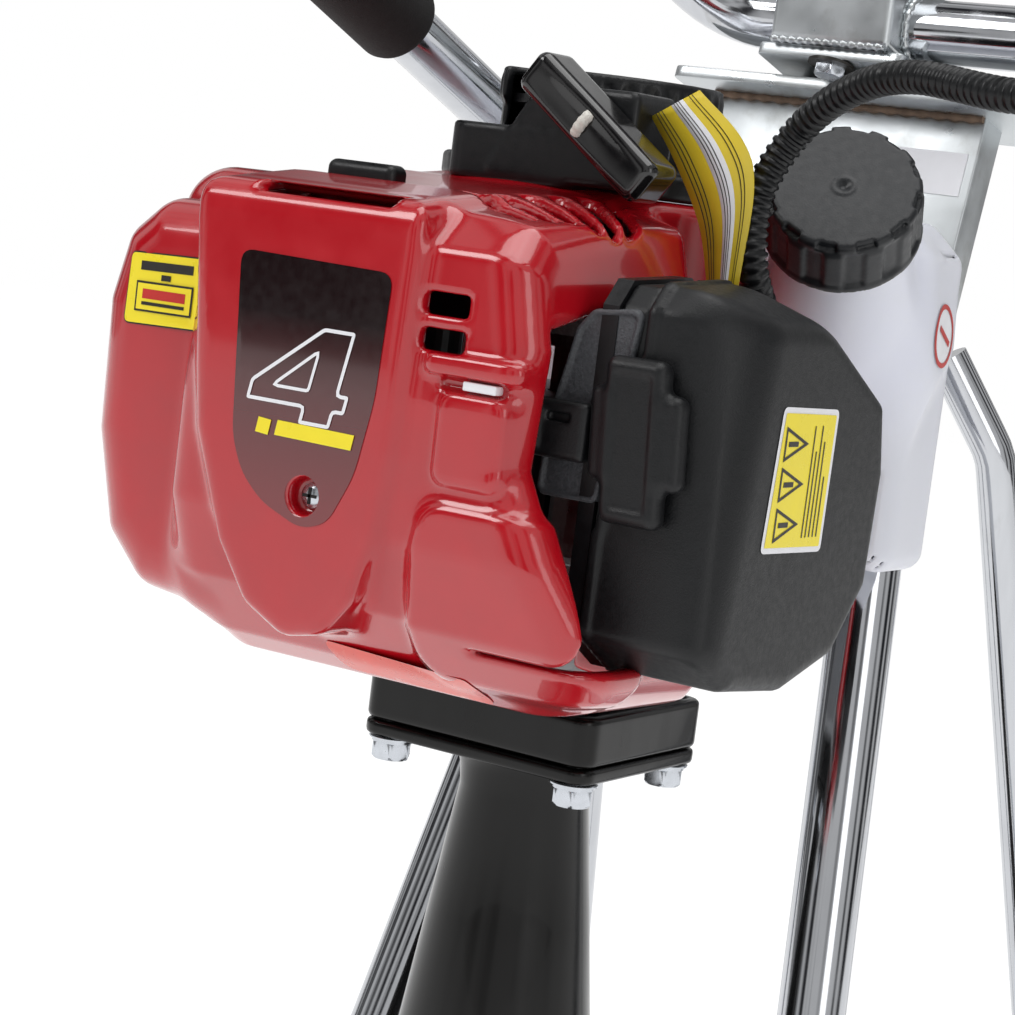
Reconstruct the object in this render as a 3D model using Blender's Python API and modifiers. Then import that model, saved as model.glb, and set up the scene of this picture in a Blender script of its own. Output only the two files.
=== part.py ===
"""Walk-behind screed's power unit: engine on a tapered drive column, tube legs, handle frame and stand.

Lengths below are in millimetres and are turned into metres by V(). +Z is up and the drive axis is x = y = 0.
The operator's side is -Y, the air cleaner is on +X and the fuel tank and the handle bracket are on +Y.
"""

import math

import bmesh
import bpy
from mathutils import Matrix, Vector

NAME = "screed_power_unit"

# ---- driving dimensions (mm) ----
GAP = 0.3
FLANGE_Z = 350.0  # underside of the column's top flange above the floor
FLANGE_X, FLANGE_Y, FLANGE_T = 93.0, 80.0, 5.5
HOUSING_T = 18.0
BOLT_X, BOLT_Y = 38.0, 31.5
BASE_X, BASE_Y, BASE_T = 300.0, 150.0, 8.0
BASE_HOLE_X, BASE_HOLE_Y, BASE_HOLE_R = 125.0, 50.0, 6.5
NECK_R, NECK_Z, FOOT_R = 23.3, -15.0, 66.0
COLUMN_WALL = 4.0
LEG_R = 12.7
LEG_TOP_Z, LEG_FOOT_Z = 190.0, -330.0
LEG_SPREAD_0, LEG_SPREAD_SLOPE = 74.1, -0.1355
LEG_BACK_0, LEG_BACK_SLOPE = 105.1, 0.2645
BAR_R = 12.7
ASSIST_R = 11.0
GRIP_R = 16.5
STAND_R = 8.0
CYL_Z = 82.0  # height of the cylinder axis
BORE_R, PISTON_R, STROKE = 19.5, 19.2, 30.0
PULLEY_R, ROPE_R, ROPE_Z = 30.0, 1.5, 221.0
HANDLE_AT = (38.5, -70.5, 219.0)
HANDLE_TURN = 36.0  # degrees from level, lower on +X
CAP_AXIS = (0.297, -0.737, 0.607)
CAP_AT = (88.4, 11.5, 202.9)
CAP_R = 27.0
CLEANER_X0, CLEANER_X1 = 84.0, 127.0
SCREW_X, SCREW_Z = -2.5, 95.0


def V(x, y, z):
    """A point in millimetres, measured from the flange, as metres above the floor."""
    return Vector((x, y, z + FLANGE_Z)) / 1000.0


# ---- scene and materials ----
for old in list(bpy.data.objects):
    bpy.data.objects.remove(old, do_unlink=True)

PARTS = bpy.data.collections.new(NAME)
CUTTERS = bpy.data.collections.new("cutters")
bpy.context.scene.collection.children.link(PARTS)
bpy.context.scene.collection.children.link(CUTTERS)


def material(name, color, metallic=0.0, roughness=0.5, alpha=1.0):
    mat = bpy.data.materials.new(name)
    mat.use_nodes = True
    shader = mat.node_tree.nodes["Principled BSDF"]
    shader.inputs["Base Color"].default_value = (*color, 1.0)
    shader.inputs["Metallic"].default_value = metallic
    shader.inputs["Roughness"].default_value = roughness
    shader.inputs["Alpha"].default_value = alpha
    return mat


RED = material("red_gloss", (0.55, 0.01, 0.02), 0.0, 0.15)
BLACK = material("black_plastic", (0.02, 0.02, 0.022), 0.0, 0.5)
GLOSS_BLACK = material("black_gloss", (0.01, 0.01, 0.012), 0.0, 0.15)
PAINT_BLACK = material("black_paint", (0.012, 0.012, 0.012), 0.2, 0.25)
CHROME = material("chrome", (0.75, 0.76, 0.77), 1.0, 0.1)
ZINC = material("zinc", (0.62, 0.64, 0.66), 1.0, 0.4)
STEEL = material("steel", (0.45, 0.45, 0.46), 1.0, 0.35)
ALLOY = material("alloy", (0.6, 0.6, 0.6), 1.0, 0.5)
WHITE = material("tank_white", (0.8, 0.8, 0.82), 0.0, 0.35)
RUBBER = material("rubber", (0.02, 0.02, 0.02), 0.0, 0.8)
FOAM = material("foam", (0.015, 0.015, 0.015), 0.0, 0.9)
FILTER = material("filter_foam", (0.05, 0.05, 0.06), 0.0, 0.9)
ROPE = material("rope", (0.85, 0.85, 0.85), 0.0, 0.8)
PAPER = material("tag_yellow", (0.8, 0.65, 0.05), 0.0, 0.6)
SWITCH_RED = material("switch_red", (0.6, 0.03, 0.03), 0.0, 0.4)


# ---- shape helpers ----
def finish(obj, mat, collection=None):
    (collection or PARTS).objects.link(obj)
    if mat is not None:
        obj.data.materials.append(mat)
    return obj


def from_bmesh(name, bm, mat, cutter=False):
    bmesh.ops.recalc_face_normals(bm, faces=bm.faces)
    mesh = bpy.data.meshes.new(name)
    bm.to_mesh(mesh)
    bm.free()
    obj = bpy.data.objects.new(name, mesh)
    finish(obj, mat, CUTTERS if cutter else PARTS)
    if cutter:
        obj.hide_render = True
        obj.display_type = "WIRE"
    return obj


def box(name, lo, hi, mat, bevel=0.0, segments=2, cutter=False, vertical=None):
    """A box between two corners. vertical names the axis whose four long edges alone are rounded."""
    bm = bmesh.new()
    bmesh.ops.create_cube(bm, size=1.0)
    a, b = V(*lo), V(*hi)
    for v in bm.verts:
        v.co = Vector(((a[i] + b[i]) / 2 + v.co[i] * (b[i] - a[i]) for i in range(3)))
    if bevel:
        edges = list(bm.edges)
        if vertical is not None:
            edges = [e for e in edges if abs((e.verts[0].co - e.verts[1].co)[vertical]) > 1e-6]
        bmesh.ops.bevel(bm, geom=edges, offset=bevel / 1000.0, segments=segments, profile=0.5, affect="EDGES")
    return from_bmesh(name, bm, mat, cutter)


def cylinder(name, start, end, radius, mat, segments=24, cutter=False):
    a, b = V(*start), V(*end)
    bm = bmesh.new()
    bmesh.ops.create_cone(
        bm,
        cap_ends=True,
        segments=segments,
        radius1=radius / 1000.0,
        radius2=radius / 1000.0,
        depth=(b - a).length,
    )
    turn = (b - a).to_track_quat("Z", "Y").to_matrix().to_4x4()
    bmesh.ops.transform(bm, matrix=Matrix.Translation((a + b) / 2) @ turn, verts=bm.verts)
    return from_bmesh(name, bm, mat, cutter)


def turned(name, profile, at, axis, mat, steps=32, cutter=False):
    """(radius, height) pairs turned about an axis, as a closed outline unless both ends lie on the axis."""
    area = sum(a[0] * b[1] - b[0] * a[1] for a, b in zip(profile, profile[1:] + profile[:1]))
    if area > 0:
        profile = profile[::-1]
    mesh = bpy.data.meshes.new(name)
    points = [(r / 1000.0, 0.0, h / 1000.0) for r, h in profile]
    count = len(points)
    edges = [(i, (i + 1) % count) for i in range(count)]
    if profile[0][0] == 0 and profile[-1][0] == 0:
        edges = edges[:-1]
    mesh.from_pydata(points, edges, [])
    obj = bpy.data.objects.new(name, mesh)
    finish(obj, mat, CUTTERS if cutter else PARTS)
    turn = Vector(axis).to_track_quat("Z", "Y").to_matrix().to_4x4()
    obj.matrix_world = Matrix.Translation(V(*at)) @ turn
    screw = obj.modifiers.new("Turn", "SCREW")
    screw.steps = steps
    screw.render_steps = steps
    screw.use_merge_vertices = True
    screw.merge_threshold = 0.0001
    if cutter:
        obj.hide_render = True
        obj.display_type = "WIRE"
    return obj


def rounded_route(points, radius, steps=5):
    """The same route with each corner replaced by an arc."""
    pts = [Vector(p) for p in points]
    out = [pts[0]]
    for i, (before, corner, after) in enumerate(zip(pts, pts[1:], pts[2:])):
        d0, d1 = (before - corner).normalized(), (after - corner).normalized()
        half = d0.angle(d1) / 2
        room_in = (before - corner).length * (0.9 if i == 0 else 0.48)
        room_out = (after - corner).length * (0.9 if i == len(pts) - 3 else 0.48)
        reach = min(radius / math.tan(half), room_in, room_out)
        r = reach * math.tan(half)
        centre = corner + (d0 + d1).normalized() * (r / math.sin(half))
        a, b = corner + d0 * reach - centre, corner + d1 * reach - centre
        for k in range(steps + 1):
            t = k / steps
            sweep = math.pi - 2 * half
            out.append(centre + (a * math.sin((1 - t) * sweep) + b * math.sin(t * sweep)) / math.sin(sweep))
    out.append(pts[-1])
    return out


def tube(name, points, radius, mat, resolution=3):
    """A round bar along a route, with flat ends."""
    data = bpy.data.curves.new(name, "CURVE")
    data.dimensions = "3D"
    data.bevel_depth = radius / 1000.0
    data.bevel_resolution = resolution
    data.use_fill_caps = True
    spline = data.splines.new("POLY")
    spline.points.add(len(points) - 1)
    for target, point in zip(spline.points, points):
        target.co = (*V(*point), 1.0)
    return finish(bpy.data.objects.new(name, data), mat)


def prism(name, outline, axis, lo, hi, mat, cutter=False):
    """A flat outline pushed along X, Y or Z. The outline's pairs are the other two axes in order."""
    bm = bmesh.new()
    rings = []
    for level in (lo, hi):
        ring = []
        for a, b in outline:
            point = {"x": (level, a, b), "y": (a, level, b), "z": (a, b, level)}[axis]
            ring.append(bm.verts.new(V(*point)))
        rings.append(ring)
    bm.faces.new(rings[0])
    bm.faces.new(list(reversed(rings[1])))
    count = len(outline)
    for i in range(count):
        j = (i + 1) % count
        bm.faces.new((rings[0][i], rings[1][i], rings[1][j], rings[0][j]))
    return from_bmesh(name, bm, mat, cutter)


def boolean(obj, other, operation="DIFFERENCE"):
    """Adds an exact Boolean. A union's operand becomes a hidden helper."""
    if operation == "UNION" and PARTS in other.users_collection:
        PARTS.objects.unlink(other)
        CUTTERS.objects.link(other)
        other.hide_render = True
        other.display_type = "WIRE"
    mod = obj.modifiers.new(operation.title(), "BOOLEAN")
    mod.operation = operation
    mod.solver = "EXACT"
    mod.object = other
    return obj


def leg_at(z, side):
    """A leg's centre at a height."""
    return (side * (LEG_SPREAD_0 + LEG_SPREAD_SLOPE * z), LEG_BACK_0 + LEG_BACK_SLOPE * z, z)


def tilted(x, back, up):
    """A point in the bracket's leaning frame, whose origin is the middle of its top edge."""
    lean = math.atan(LEG_BACK_SLOPE)
    y = 184.0 + back * math.cos(lean) + up * math.sin(lean)
    return (x, y, 246.0 - back * math.sin(lean) + up * math.cos(lean))


def tilted_prism(name, outline, lo, hi, mat, cutter=False):
    """A plate in the bracket's frame: outline of (x, back) pairs between two heights."""
    bm = bmesh.new()
    rings = [[bm.verts.new(V(*tilted(x, back, up))) for x, back in outline] for up in (lo, hi)]
    bm.faces.new(rings[0])
    bm.faces.new(list(reversed(rings[1])))
    for i in range(len(outline)):
        j = (i + 1) % len(outline)
        bm.faces.new((rings[0][i], rings[1][i], rings[1][j], rings[0][j]))
    return from_bmesh(name, bm, mat, cutter)


# ---- base, column and exciter ----
def base_plate():
    z0 = -FLANGE_Z
    plate = box(
        "base_plate",
        (-BASE_X / 2, -BASE_Y / 2, z0),
        (BASE_X / 2, BASE_Y / 2, z0 + BASE_T),
        STEEL,
        bevel=12,
        segments=3,
        vertical=2,
    )
    for sx in (-1, 1):
        for sy in (-1, 1):
            x, y = sx * BASE_HOLE_X, sy * BASE_HOLE_Y
            hole = cylinder("base_hole", (x, y, z0 - 5), (x, y, z0 + 20), BASE_HOLE_R, None, cutter=True)
            boolean(plate, hole)
        lug = box("base_lug", (sx * 118.5 - 9, 2, z0 + 2), (sx * 118.5 + 9, 32, z0 + 15.5), STEEL)
        boolean(plate, lug, "UNION")


def column_radius(z):
    return NECK_R + (NECK_Z - z) * (FOOT_R - NECK_R) / (NECK_Z - (-342.0 + GAP))


def column():
    bottom = -FLANGE_Z + BASE_T + GAP
    outer = [(30.0, 1.5), (25.5, -3.5), (23.8, -9.0), (NECK_R, NECK_Z)]
    outer += [(column_radius(z), z) for z in (-120.0, -230.0, bottom + 8)]
    profile = outer + [(80.0, bottom + 8), (80.0, bottom), (62.0, bottom)]
    profile += [(62.0, bottom + 9), (column_radius(-230.0) - COLUMN_WALL, -230.0)]
    profile += [(column_radius(-120.0) - COLUMN_WALL, -120.0), (NECK_R - COLUMN_WALL, NECK_Z), (19.3, 1.5)]
    obj = turned("column", profile, (0, 0, 0), (0, 0, 1), PAINT_BLACK, steps=40)
    plate = box(
        "column_flange",
        (-FLANGE_X / 2, -FLANGE_Y / 2, 0),
        (FLANGE_X / 2, FLANGE_Y / 2, FLANGE_T),
        PAINT_BLACK,
        bevel=11,
        segments=4,
        vertical=2,
    )
    boolean(plate, cylinder("flange_bore", (0, 0, -5), (0, 0, 30), 19.3, None, 40, cutter=True))
    for sx in (-1, 1):
        for sy in (-1, 1):
            x, y = sx * BOLT_X, sy * BOLT_Y
            boolean(plate, cylinder("flange_hole", (x, y, -9), (x, y, 30), 4.4, None, 16, cutter=True))
    boolean(obj, plate, "UNION")


def clutch_housing():
    obj = box(
        "clutch_housing",
        (-FLANGE_X / 2, -FLANGE_Y / 2, FLANGE_T + GAP),
        (FLANGE_X / 2, FLANGE_Y / 2, FLANGE_T + HOUSING_T),
        PAINT_BLACK,
        bevel=11,
        segments=4,
        vertical=2,
    )
    boolean(obj, cylinder("housing_bore", (0, 0, -5), (0, 0, 40), 36.0, None, 40, cutter=True))
    for sx in (-1, 1):
        for sy in (-1, 1):
            x, y = sx * BOLT_X, sy * BOLT_Y
            boolean(obj, cylinder("housing_hole", (x, y, -9), (x, y, 40), 4.4, None, 16, cutter=True))


def flange_bolts():
    for i, (sx, sy) in enumerate(((-1, -1), (1, -1), (1, 1), (-1, 1))):
        x, y = sx * BOLT_X, sy * BOLT_Y
        head = cylinder(f"flange_bolt_{i + 1}", (x, y, -9.6), (x, y, -2.6), 7.5, ZINC, 6)
        washer = cylinder("bolt_washer", (x, y, -3.0), (x, y, -GAP), 7.6, ZINC, 20)
        shank = cylinder("bolt_shank", (x, y, -6.0), (x, y, 20.0), 4.0, ZINC, 12)
        boolean(head, washer, "UNION")
        boolean(head, shank, "UNION")


def exciter():
    turned(
        "bearing_carrier",
        [(49.6, -250), (49.6, -262), (21.0, -262), (21.0, -250)],
        (0, 0, 0),
        (0, 0, 1),
        STEEL,
        steps=36,
    )
    bearings = (("lower_bearing", -262, -250, 8.3, 20.7), ("upper_bearing", -32, -20, 8.3, 18.9))
    for name, z0, z1, r0, r1 in bearings:
        ring = [(r1, z1), (r1, z0), (r0, z0), (r0, z1)]
        turned(name, ring, (0, 0, 0), (0, 0, 1), STEEL, steps=32)
    shaft = [(0, 10.0), (8.0, 10.0), (8.0, -318.0), (0, -318.0)]
    turned("drive_shaft", shaft, (0, 0, 0), (0, 0, 1), STEEL, steps=24)
    weight = turned(
        "eccentric_weight",
        [(46.0, -272), (46.0, -312), (8.3, -312), (8.3, -272)],
        (0, 0, 0),
        (0, 0, 1),
        STEEL,
        steps=36,
    )
    boolean(weight, box("weight_cut", (-60, 9.5, -330), (60, 60, -260), None, cutter=True))


# ---- legs, bracket, stand ----
def legs():
    for side, label in ((-1, "left"), (1, "right")):
        tube(f"leg_{label}", [leg_at(LEG_FOOT_Z, side), leg_at(LEG_TOP_Z, side)], LEG_R, CHROME, resolution=4)


def bracket():
    """A folded channel behind the legs with a thicker plate welded across its top."""
    lean = LEG_BACK_SLOPE
    front = lambda z: 184.0 + (z - 246.0) * lean
    bm = bmesh.new()
    half, fold, thick = 61.0, 18.0, 3.0
    section = [(-half, fold), (-half, 0), (half, 0), (half, fold), (half - thick, fold)]
    section += [(half - thick, thick), (-half + thick, thick), (-half + thick, fold)]
    rings = []
    for z in (158.0, 247.5):
        rings.append([bm.verts.new(V(x, front(z) + d, z)) for x, d in section])
    bm.faces.new(rings[0])
    bm.faces.new(list(reversed(rings[1])))
    for i in range(len(section)):
        j = (i + 1) % len(section)
        bm.faces.new((rings[0][i], rings[1][i], rings[1][j], rings[0][j]))
    obj = from_bmesh("bracket", bm, ZINC)
    top = tilted_prism("bracket_top", [(-74, -16), (78, -16), (78, 34), (-74, 34)], -0.5, 4.5, ZINC)
    boolean(obj, top, "UNION")


def handle_mount():
    tilted_prism("handle_plate", [(-32, -27), (32, -27), (32, 30), (-32, 30)], 9.0, 14.0, ZINC)
    for side, label in ((-1, "left"), (1, "right")):
        a, b = tilted(side * 20, 12, 4.5 + GAP), tilted(side * 20, 12, 9.0 - GAP)
        cylinder(f"buffer_{label}", a, b, 9.0, RUBBER, 20)
    block = box("handle_block", (-26, 158, 250), (26, 208, 312), ZINC, bevel=5, segments=2, vertical=2)
    below = [(-60, -60), (60, -60), (60, 80), (-60, 80)]
    cut = tilted_prism("block_foot", below, -60, 14.0 + GAP, None, cutter=True)
    boolean(block, cut)
    cylinder("handle_bolt", tilted(0, -22.5, 2.5), tilted(0, -22.5, 9.0 - GAP), 5.8, ZINC, 6)


def handlebars():
    left = [(-26 - GAP, 183, 277), (-62, 183, 277), (-165, 95, 400), (-232, -30, 500), (-242, -205, 545)]
    right = [(26 + GAP, 183, 277), (105, 183, 277), (172, 95, 400), (232, -30, 500), (242, -205, 545)]
    for label, route in (("left", left), ("right", right)):
        path = rounded_route(route, 50.0, 5)
        tube(f"handlebar_{label}", path, BAR_R, CHROME, resolution=3)
        end, before = Vector(route[-1]), Vector(route[-2])
        d = (end - before).normalized()
        start = end - d * 110.0
        sleeve(f"grip_{label}", start, end + d * 6.0, GRIP_R, BAR_R + GAP, FOAM)


def sleeve(name, start, end, outer, inner, mat):
    """A soft sleeve over the end of a bar, closed at its far end."""
    start, end = Vector(start), Vector(end)
    length = (end - start).length
    profile = [(0, length), (outer - 5, length), (outer, length - 5), (outer, 4), (outer - 2.5, 0)]
    profile += [(inner, 0), (inner, length - 5.7), (0, length - 5.7)]
    turned(name, profile, start, end - start, mat, steps=24)


def controls():
    """Throttle housing and lever and the stop switch on the right bar, inboard of its grip."""
    end, before = Vector((242, -205, 545)), Vector((232, -30, 500))
    d = (end - before).normalized()
    at = end - d * 126.0
    ring = [(19.0, 14), (19.0, -14), (BAR_R + GAP, -14), (BAR_R + GAP, 14)]
    housing = turned("throttle_housing", ring, at, d, BLACK, steps=28)
    side = Vector((-1, 0, 0))
    up = d.cross(side).normalized()
    if up.z < 0:
        up = -up
    boss_a, boss_b = at + up * 14.0, at + up * 26.0
    boolean(housing, cylinder("housing_boss", boss_a, boss_b, 10.5, BLACK, 20), "UNION")
    # lever: a disc on the boss with an arm that lies along the grip
    hub_a, hub_b = at + up * (26.0 + GAP), at + up * 30.0
    lever = cylinder("throttle_lever", hub_a, hub_b, 9.0, BLACK, 20)
    arm_dir = (d * 0.92 - side * -0.39).normalized()
    cross = arm_dir.cross(up).normalized()
    bm = bmesh.new()
    low, high = [], []
    for s, w in ((0.0, 5.0), (44.0, 4.0)):
        for sign in (-1, 1):
            base = at + arm_dir * s + cross * (w * sign)
            low.append(bm.verts.new(V(*(base + up * (26.0 + GAP)))))
            high.append(bm.verts.new(V(*(base + up * 29.7))))
    order = (0, 1, 3, 2)
    bm.faces.new([low[i] for i in order])
    bm.faces.new([high[i] for i in reversed(order)])
    for i in range(4):
        a, b = order[i], order[(i + 1) % 4]
        bm.faces.new((low[a], high[a], high[b], low[b]))
    boolean(lever, from_bmesh("lever_arm", bm, BLACK), "UNION")
    # stop switch: a ring with a rocker on its inner side
    st = end - d * 150.0
    ring = [(17.5, 8), (17.5, -8), (BAR_R + GAP, -8), (BAR_R + GAP, 8)]
    switch = turned("switch_housing", ring, st, d, BLACK, steps=28)
    boolean(switch, cylinder("switch_boss", st + up * 14.0, st + up * 24.0, 9.0, BLACK, 24), "UNION")
    boolean(switch, cylinder("switch_bore", st + up * 17.2, st + up * 30.0, 6.4, None, 24, cutter=True))
    cylinder("stop_switch", st + up * 19.6, st + up * 26.5, 6.0, SWITCH_RED, 20)


def assist_handle():
    route = [(-63.0, 160, 186), (-88.5, 160, 186), (-88.5, -118, 293)]
    path = rounded_route(route, 26.0, 6)
    tube("assist_handle", path, ASSIST_R, CHROME, resolution=3)
    end = Vector(route[-1])
    d = (end - Vector(route[-2])).normalized()
    sleeve("assist_grip", end - d * 118.0, end + d * 6.0, GRIP_R - 0.5, ASSIST_R + GAP, FOAM)


def rear_stand():
    floor = -FLANGE_Z + STAND_R + 0.6
    right = [(66.0, 166.0, 152.0), (86.0, 180.0, 116.0), (136.0, 304.0, floor)]
    route = right[:]
    route += [(-x, y, z) for x, y, z in reversed(right)]
    tube("rear_stand", rounded_route(route, 28.0, 4), STAND_R, CHROME, resolution=3)


# ---- engine ----
def crankcase():
    obj = box("crankcase", (-42, -38, 24), (42, 46, 128), ALLOY, bevel=6, segments=2)
    boolean(obj, cylinder("case_bore", (0, 0, 38), (0, 0, 118), 33.0, None, 36, cutter=True))
    boolean(obj, cylinder("case_axis", (0, 0, 10), (0, 0, 150), 9.8, None, 24, cutter=True))
    boolean(obj, cylinder("case_side", (0, 0, CYL_Z), (0, -60, CYL_Z), 20.0, None, 32, cutter=True))


def cylinder_block():
    fins = [(BORE_R, 0), (29, 0)]
    for i in range(5):
        y = 8 + i * 11
        fins += [(29, y), (37, y + 1), (37, y + 3.5), (29, y + 4.5)]
    fins += [(29, 66), (0, 66), (0, 63), (BORE_R, 63)]
    turned("cylinder", fins, (0, -38 - GAP, CYL_Z), (0, -1, 0), ALLOY, steps=32)
    box("rocker_cover", (-28, -124, 56), (28, -105, 108), ALLOY, bevel=4, segments=2)


def rotating_group():
    upper_pin = [(0, 203), (9.0, 203), (9.0, 88), (0, 88)]
    lower_pin = [(0, 76), (9.0, 76), (9.0, 12), (0, 12)]
    crank = turned("crankshaft", upper_pin, (0, 0, 0), (0, 0, 1), STEEL, steps=24)
    lower = turned("crank_lower", lower_pin, (0, 0, 0), (0, 0, 1), STEEL, steps=24)
    boolean(crank, lower, "UNION")
    for z in (66.0, 88.0):
        boolean(crank, cylinder("crank_web", (0, 0, z), (0, 0, z + 10), 27.0, STEEL, 32), "UNION")
    pin = cylinder("crank_pin", (0, -STROKE / 2, 70), (0, -STROKE / 2, 94), 7.0, STEEL, 20)
    boolean(crank, pin, "UNION")
    turned(
        "piston",
        [(0, 28), (PISTON_R, 28), (PISTON_R, 0), (15.5, 0), (15.5, 18), (0, 18)],
        (0, -70, CYL_Z),
        (0, -1, 0),
        ALLOY,
        steps=28,
    )
    wheel = turned(
        "flywheel",
        [(46, 166), (46, 150), (14, 154), (14, 144), (9.3, 144), (9.3, 182), (14, 182), (14, 170), (20, 166)],
        (0, 0, 0),
        (0, 0, 1),
        ALLOY,
        steps=40,
    )
    for i in range(10):
        a = math.radians(36 * i)
        bm = bmesh.new()
        bmesh.ops.create_cube(bm, size=1.0)
        for v in bm.verts:
            p = Vector((33 + v.co.x * 22, v.co.y * 2.4, 170.5 + v.co.z * 15))
            v.co = V(p.x * math.cos(a) - p.y * math.sin(a), p.x * math.sin(a) + p.y * math.cos(a), p.z)
        boolean(wheel, from_bmesh("fan_blade", bm, ALLOY), "UNION")
    shoes = turned(
        "clutch_shoes",
        [(30.5, 22), (30.5, 13), (9.3, 13), (9.3, 22)],
        (0, 0, 0),
        (0, 0, 1),
        STEEL,
        steps=32,
    )
    boolean(shoes, box("shoe_gap", (-40, -2, 8), (-12, 2, 30), None, cutter=True))
    boolean(shoes, box("shoe_gap", (12, -2, 8), (40, 2, 30), None, cutter=True))
    drum = [(34.5, 22.5), (34.5, 7.0), (8.3, 7.0), (8.3, 9.7), (31.5, 9.7), (31.5, 22.5)]
    turned("clutch_drum", drum, (0, 0, 0), (0, 0, 1), STEEL, steps=36)
    turned(
        "spark_plug",
        [(0, 152), (7, 152), (7, 128), (5, 127), (8, 126), (8, 119.6), (0, 119.6)],
        (0, -88, 0),
        (0, 0, 1),
        BLACK,
        steps=20,
    )
    box("ignition_coil", (-18, -72, 150), (18, -48, 170), BLACK, bevel=2)
    box("muffler", (-98, -110, 66), (-46, -50, 132), STEEL, bevel=9, segments=2)


def shroud_blank(name, inset, mat, cutter=False):
    """The cover's three joined volumes, all drawn in by the same distance."""
    t = inset
    low = 27 - t * 12
    front_low, front_high = (-80 + t, -145 + t, low), (78 - t, -40 - t, 196 - t)
    front = box(name, front_low, front_high, mat, bevel=22 - t, segments=3, cutter=cutter)
    low = 40 - t * 13
    lobe_low, lobe_high = (-108 + t, -131 + t, low), (-45, -6 - t, 186 - t)
    lobe = box("shroud_lobe", lobe_low, lobe_high, mat, bevel=18 - t, segments=3, cutter=cutter)
    drum = cylinder("shroud_drum", (0, 0, 28 - t * 12), (0, 0, 195.7 - t), 58.0 - t, mat, 40, cutter=cutter)
    boolean(front, lobe, "UNION")
    boolean(front, drum, "UNION")
    return front


def shroud():
    """The moulded cover: open below, at the back of the muffler side and where the carburettor passes."""
    obj = shroud_blank("engine_shroud", 0.0, RED)
    boolean(obj, shroud_blank("shroud_inside", 3.0, None, cutter=True))
    boolean(obj, box("carb_window", (56, -118, 58), (120, -30, 162), None, cutter=True))
    boolean(obj, box("shroud_floor", (-160, -200, -40), (160, 100, 31.3), None, cutter=True))
    boolean(obj, cylinder("fan_opening", (0, 0, 150), (0, 0, 260), 51.0, None, 40, cutter=True))
    boolean(obj, box("rear_window", (-44, 30, 0), (44, 90, 150), None, cutter=True))
    slot = box("top_slot", (-44, -132, 180), (13, -126, 210), None, bevel=2.4, vertical=2, cutter=True)
    boolean(obj, slot)
    boolean(obj, box("front_vent", (22, -150, 159), (38, -138, 166), None, cutter=True))
    boolean(obj, box("front_vent", (22, -150, 147), (38, -138, 154), None, cutter=True))
    x, z = SCREW_X, SCREW_Z
    screw = [(0, 0), (4.2, 0), (4.2, 3), (2.4, 3), (2.4, 12), (0, 12)]
    turned("shroud_screw", screw, (x, -149.2, z), (0, 1, 0), STEEL, steps=18)
    hole = cylinder("screw_hole", (x, -160, z), (x, -130, z), 2.7, None, 18, cutter=True)
    boolean(obj, hole)
    box("shroud_clip", (-42, -105, 196 + GAP), (-15, -92, 200.5), BLACK, bevel=1.5)


def starter():
    """The black recoil case over the fan, its pulley, handle and rope."""
    outer = [(0, 238), (37, 238), (38.5, 236.5), (38.5, 229), (37.5, 227), (37.5, 209.5), (55, 207)]
    outer += [(55, 196 + GAP)]
    inner = [(50.0, 196 + GAP), (50.0, 204), (34.8, 205.5), (34.8, 235.0), (0, 235.0)]
    case = turned("starter_case", outer + inner, (0, 0, 0), (0, 0, 1), BLACK, steps=40)
    tray = box("case_tray", (-28, -60, 199.1), (26, -40, 217), BLACK, bevel=7, segments=2, vertical=2)
    boolean(case, tray, "UNION")
    tower = box("case_tower", (-10.4, -60.2, 206.4), (44.6, -36.2, 231.8), BLACK)
    boolean(case, tower, "UNION")
    hole = cylinder("rope_hole", (PULLEY_R, -5, ROPE_Z), (PULLEY_R, -90, ROPE_Z), 3.2, None, 16, cutter=True)
    boolean(case, hole)
    boolean(case, cylinder("case_post", (0, 0, 208), (0, 0, 236), 6.0, BLACK, 20), "UNION")
    turned(
        "starter_pulley",
        [(34, 229), (34, 226), (28, 224), (28, 218), (34, 216), (34, 213), (6.4, 213), (6.4, 229)],
        (0, 0, 0),
        (0, 0, 1),
        BLACK,
        steps=36,
    )
    tube("starter_rope", [(PULLEY_R, -2, ROPE_Z), (PULLEY_R, -60.6, ROPE_Z)], ROPE_R, ROPE, resolution=2)
    half = Vector((29.5, 9.5, 7.6))
    handle = box("recoil_handle", -half, half, GLOSS_BLACK, bevel=4, segments=3)
    turn = Matrix.Rotation(math.radians(HANDLE_TURN), 4, "Y")
    shift = Matrix.Translation(V(*HANDLE_AT)) @ turn @ Matrix.Translation(-V(0, 0, 0))
    handle.data.transform(shift)


def tank():
    body = box("fuel_tank", (-70, 60, 76), (97, 108, 200), WHITE, bevel=20, segments=3)
    a = Vector(CAP_AXIS)
    at = Vector(CAP_AT)
    outer = cylinder("tank_neck", at - a * 78, at - a * 1.0, 19.5, WHITE, 32)
    boolean(body, outer, "UNION")
    low, high = (-67.5, 62.5, 78.5), (94.5, 105.5, 197.5)
    inside = box("tank_inside", low, high, None, bevel=17.5, segments=3, cutter=True)
    boolean(body, inside)
    boolean(body, cylinder("neck_bore", at - a * 76, at + a * 9, 16.5, None, 28, cutter=True))
    turned(
        "fuel_cap",
        [(0, 13), (23, 13), (CAP_R, 10), (CAP_R, -11), (19.8, -11), (19.8, 0), (0, 0)],
        tuple(at),
        CAP_AXIS,
        BLACK,
        steps=40,
    )


CLEANER = [(-120, 66), (-120, 166), (-113, 174), (-78, 176), (-15, 143), (-9, 120), (-11, 82)]
CLEANER += [(-30, 60), (-62, 51), (-100, 54)]


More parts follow.
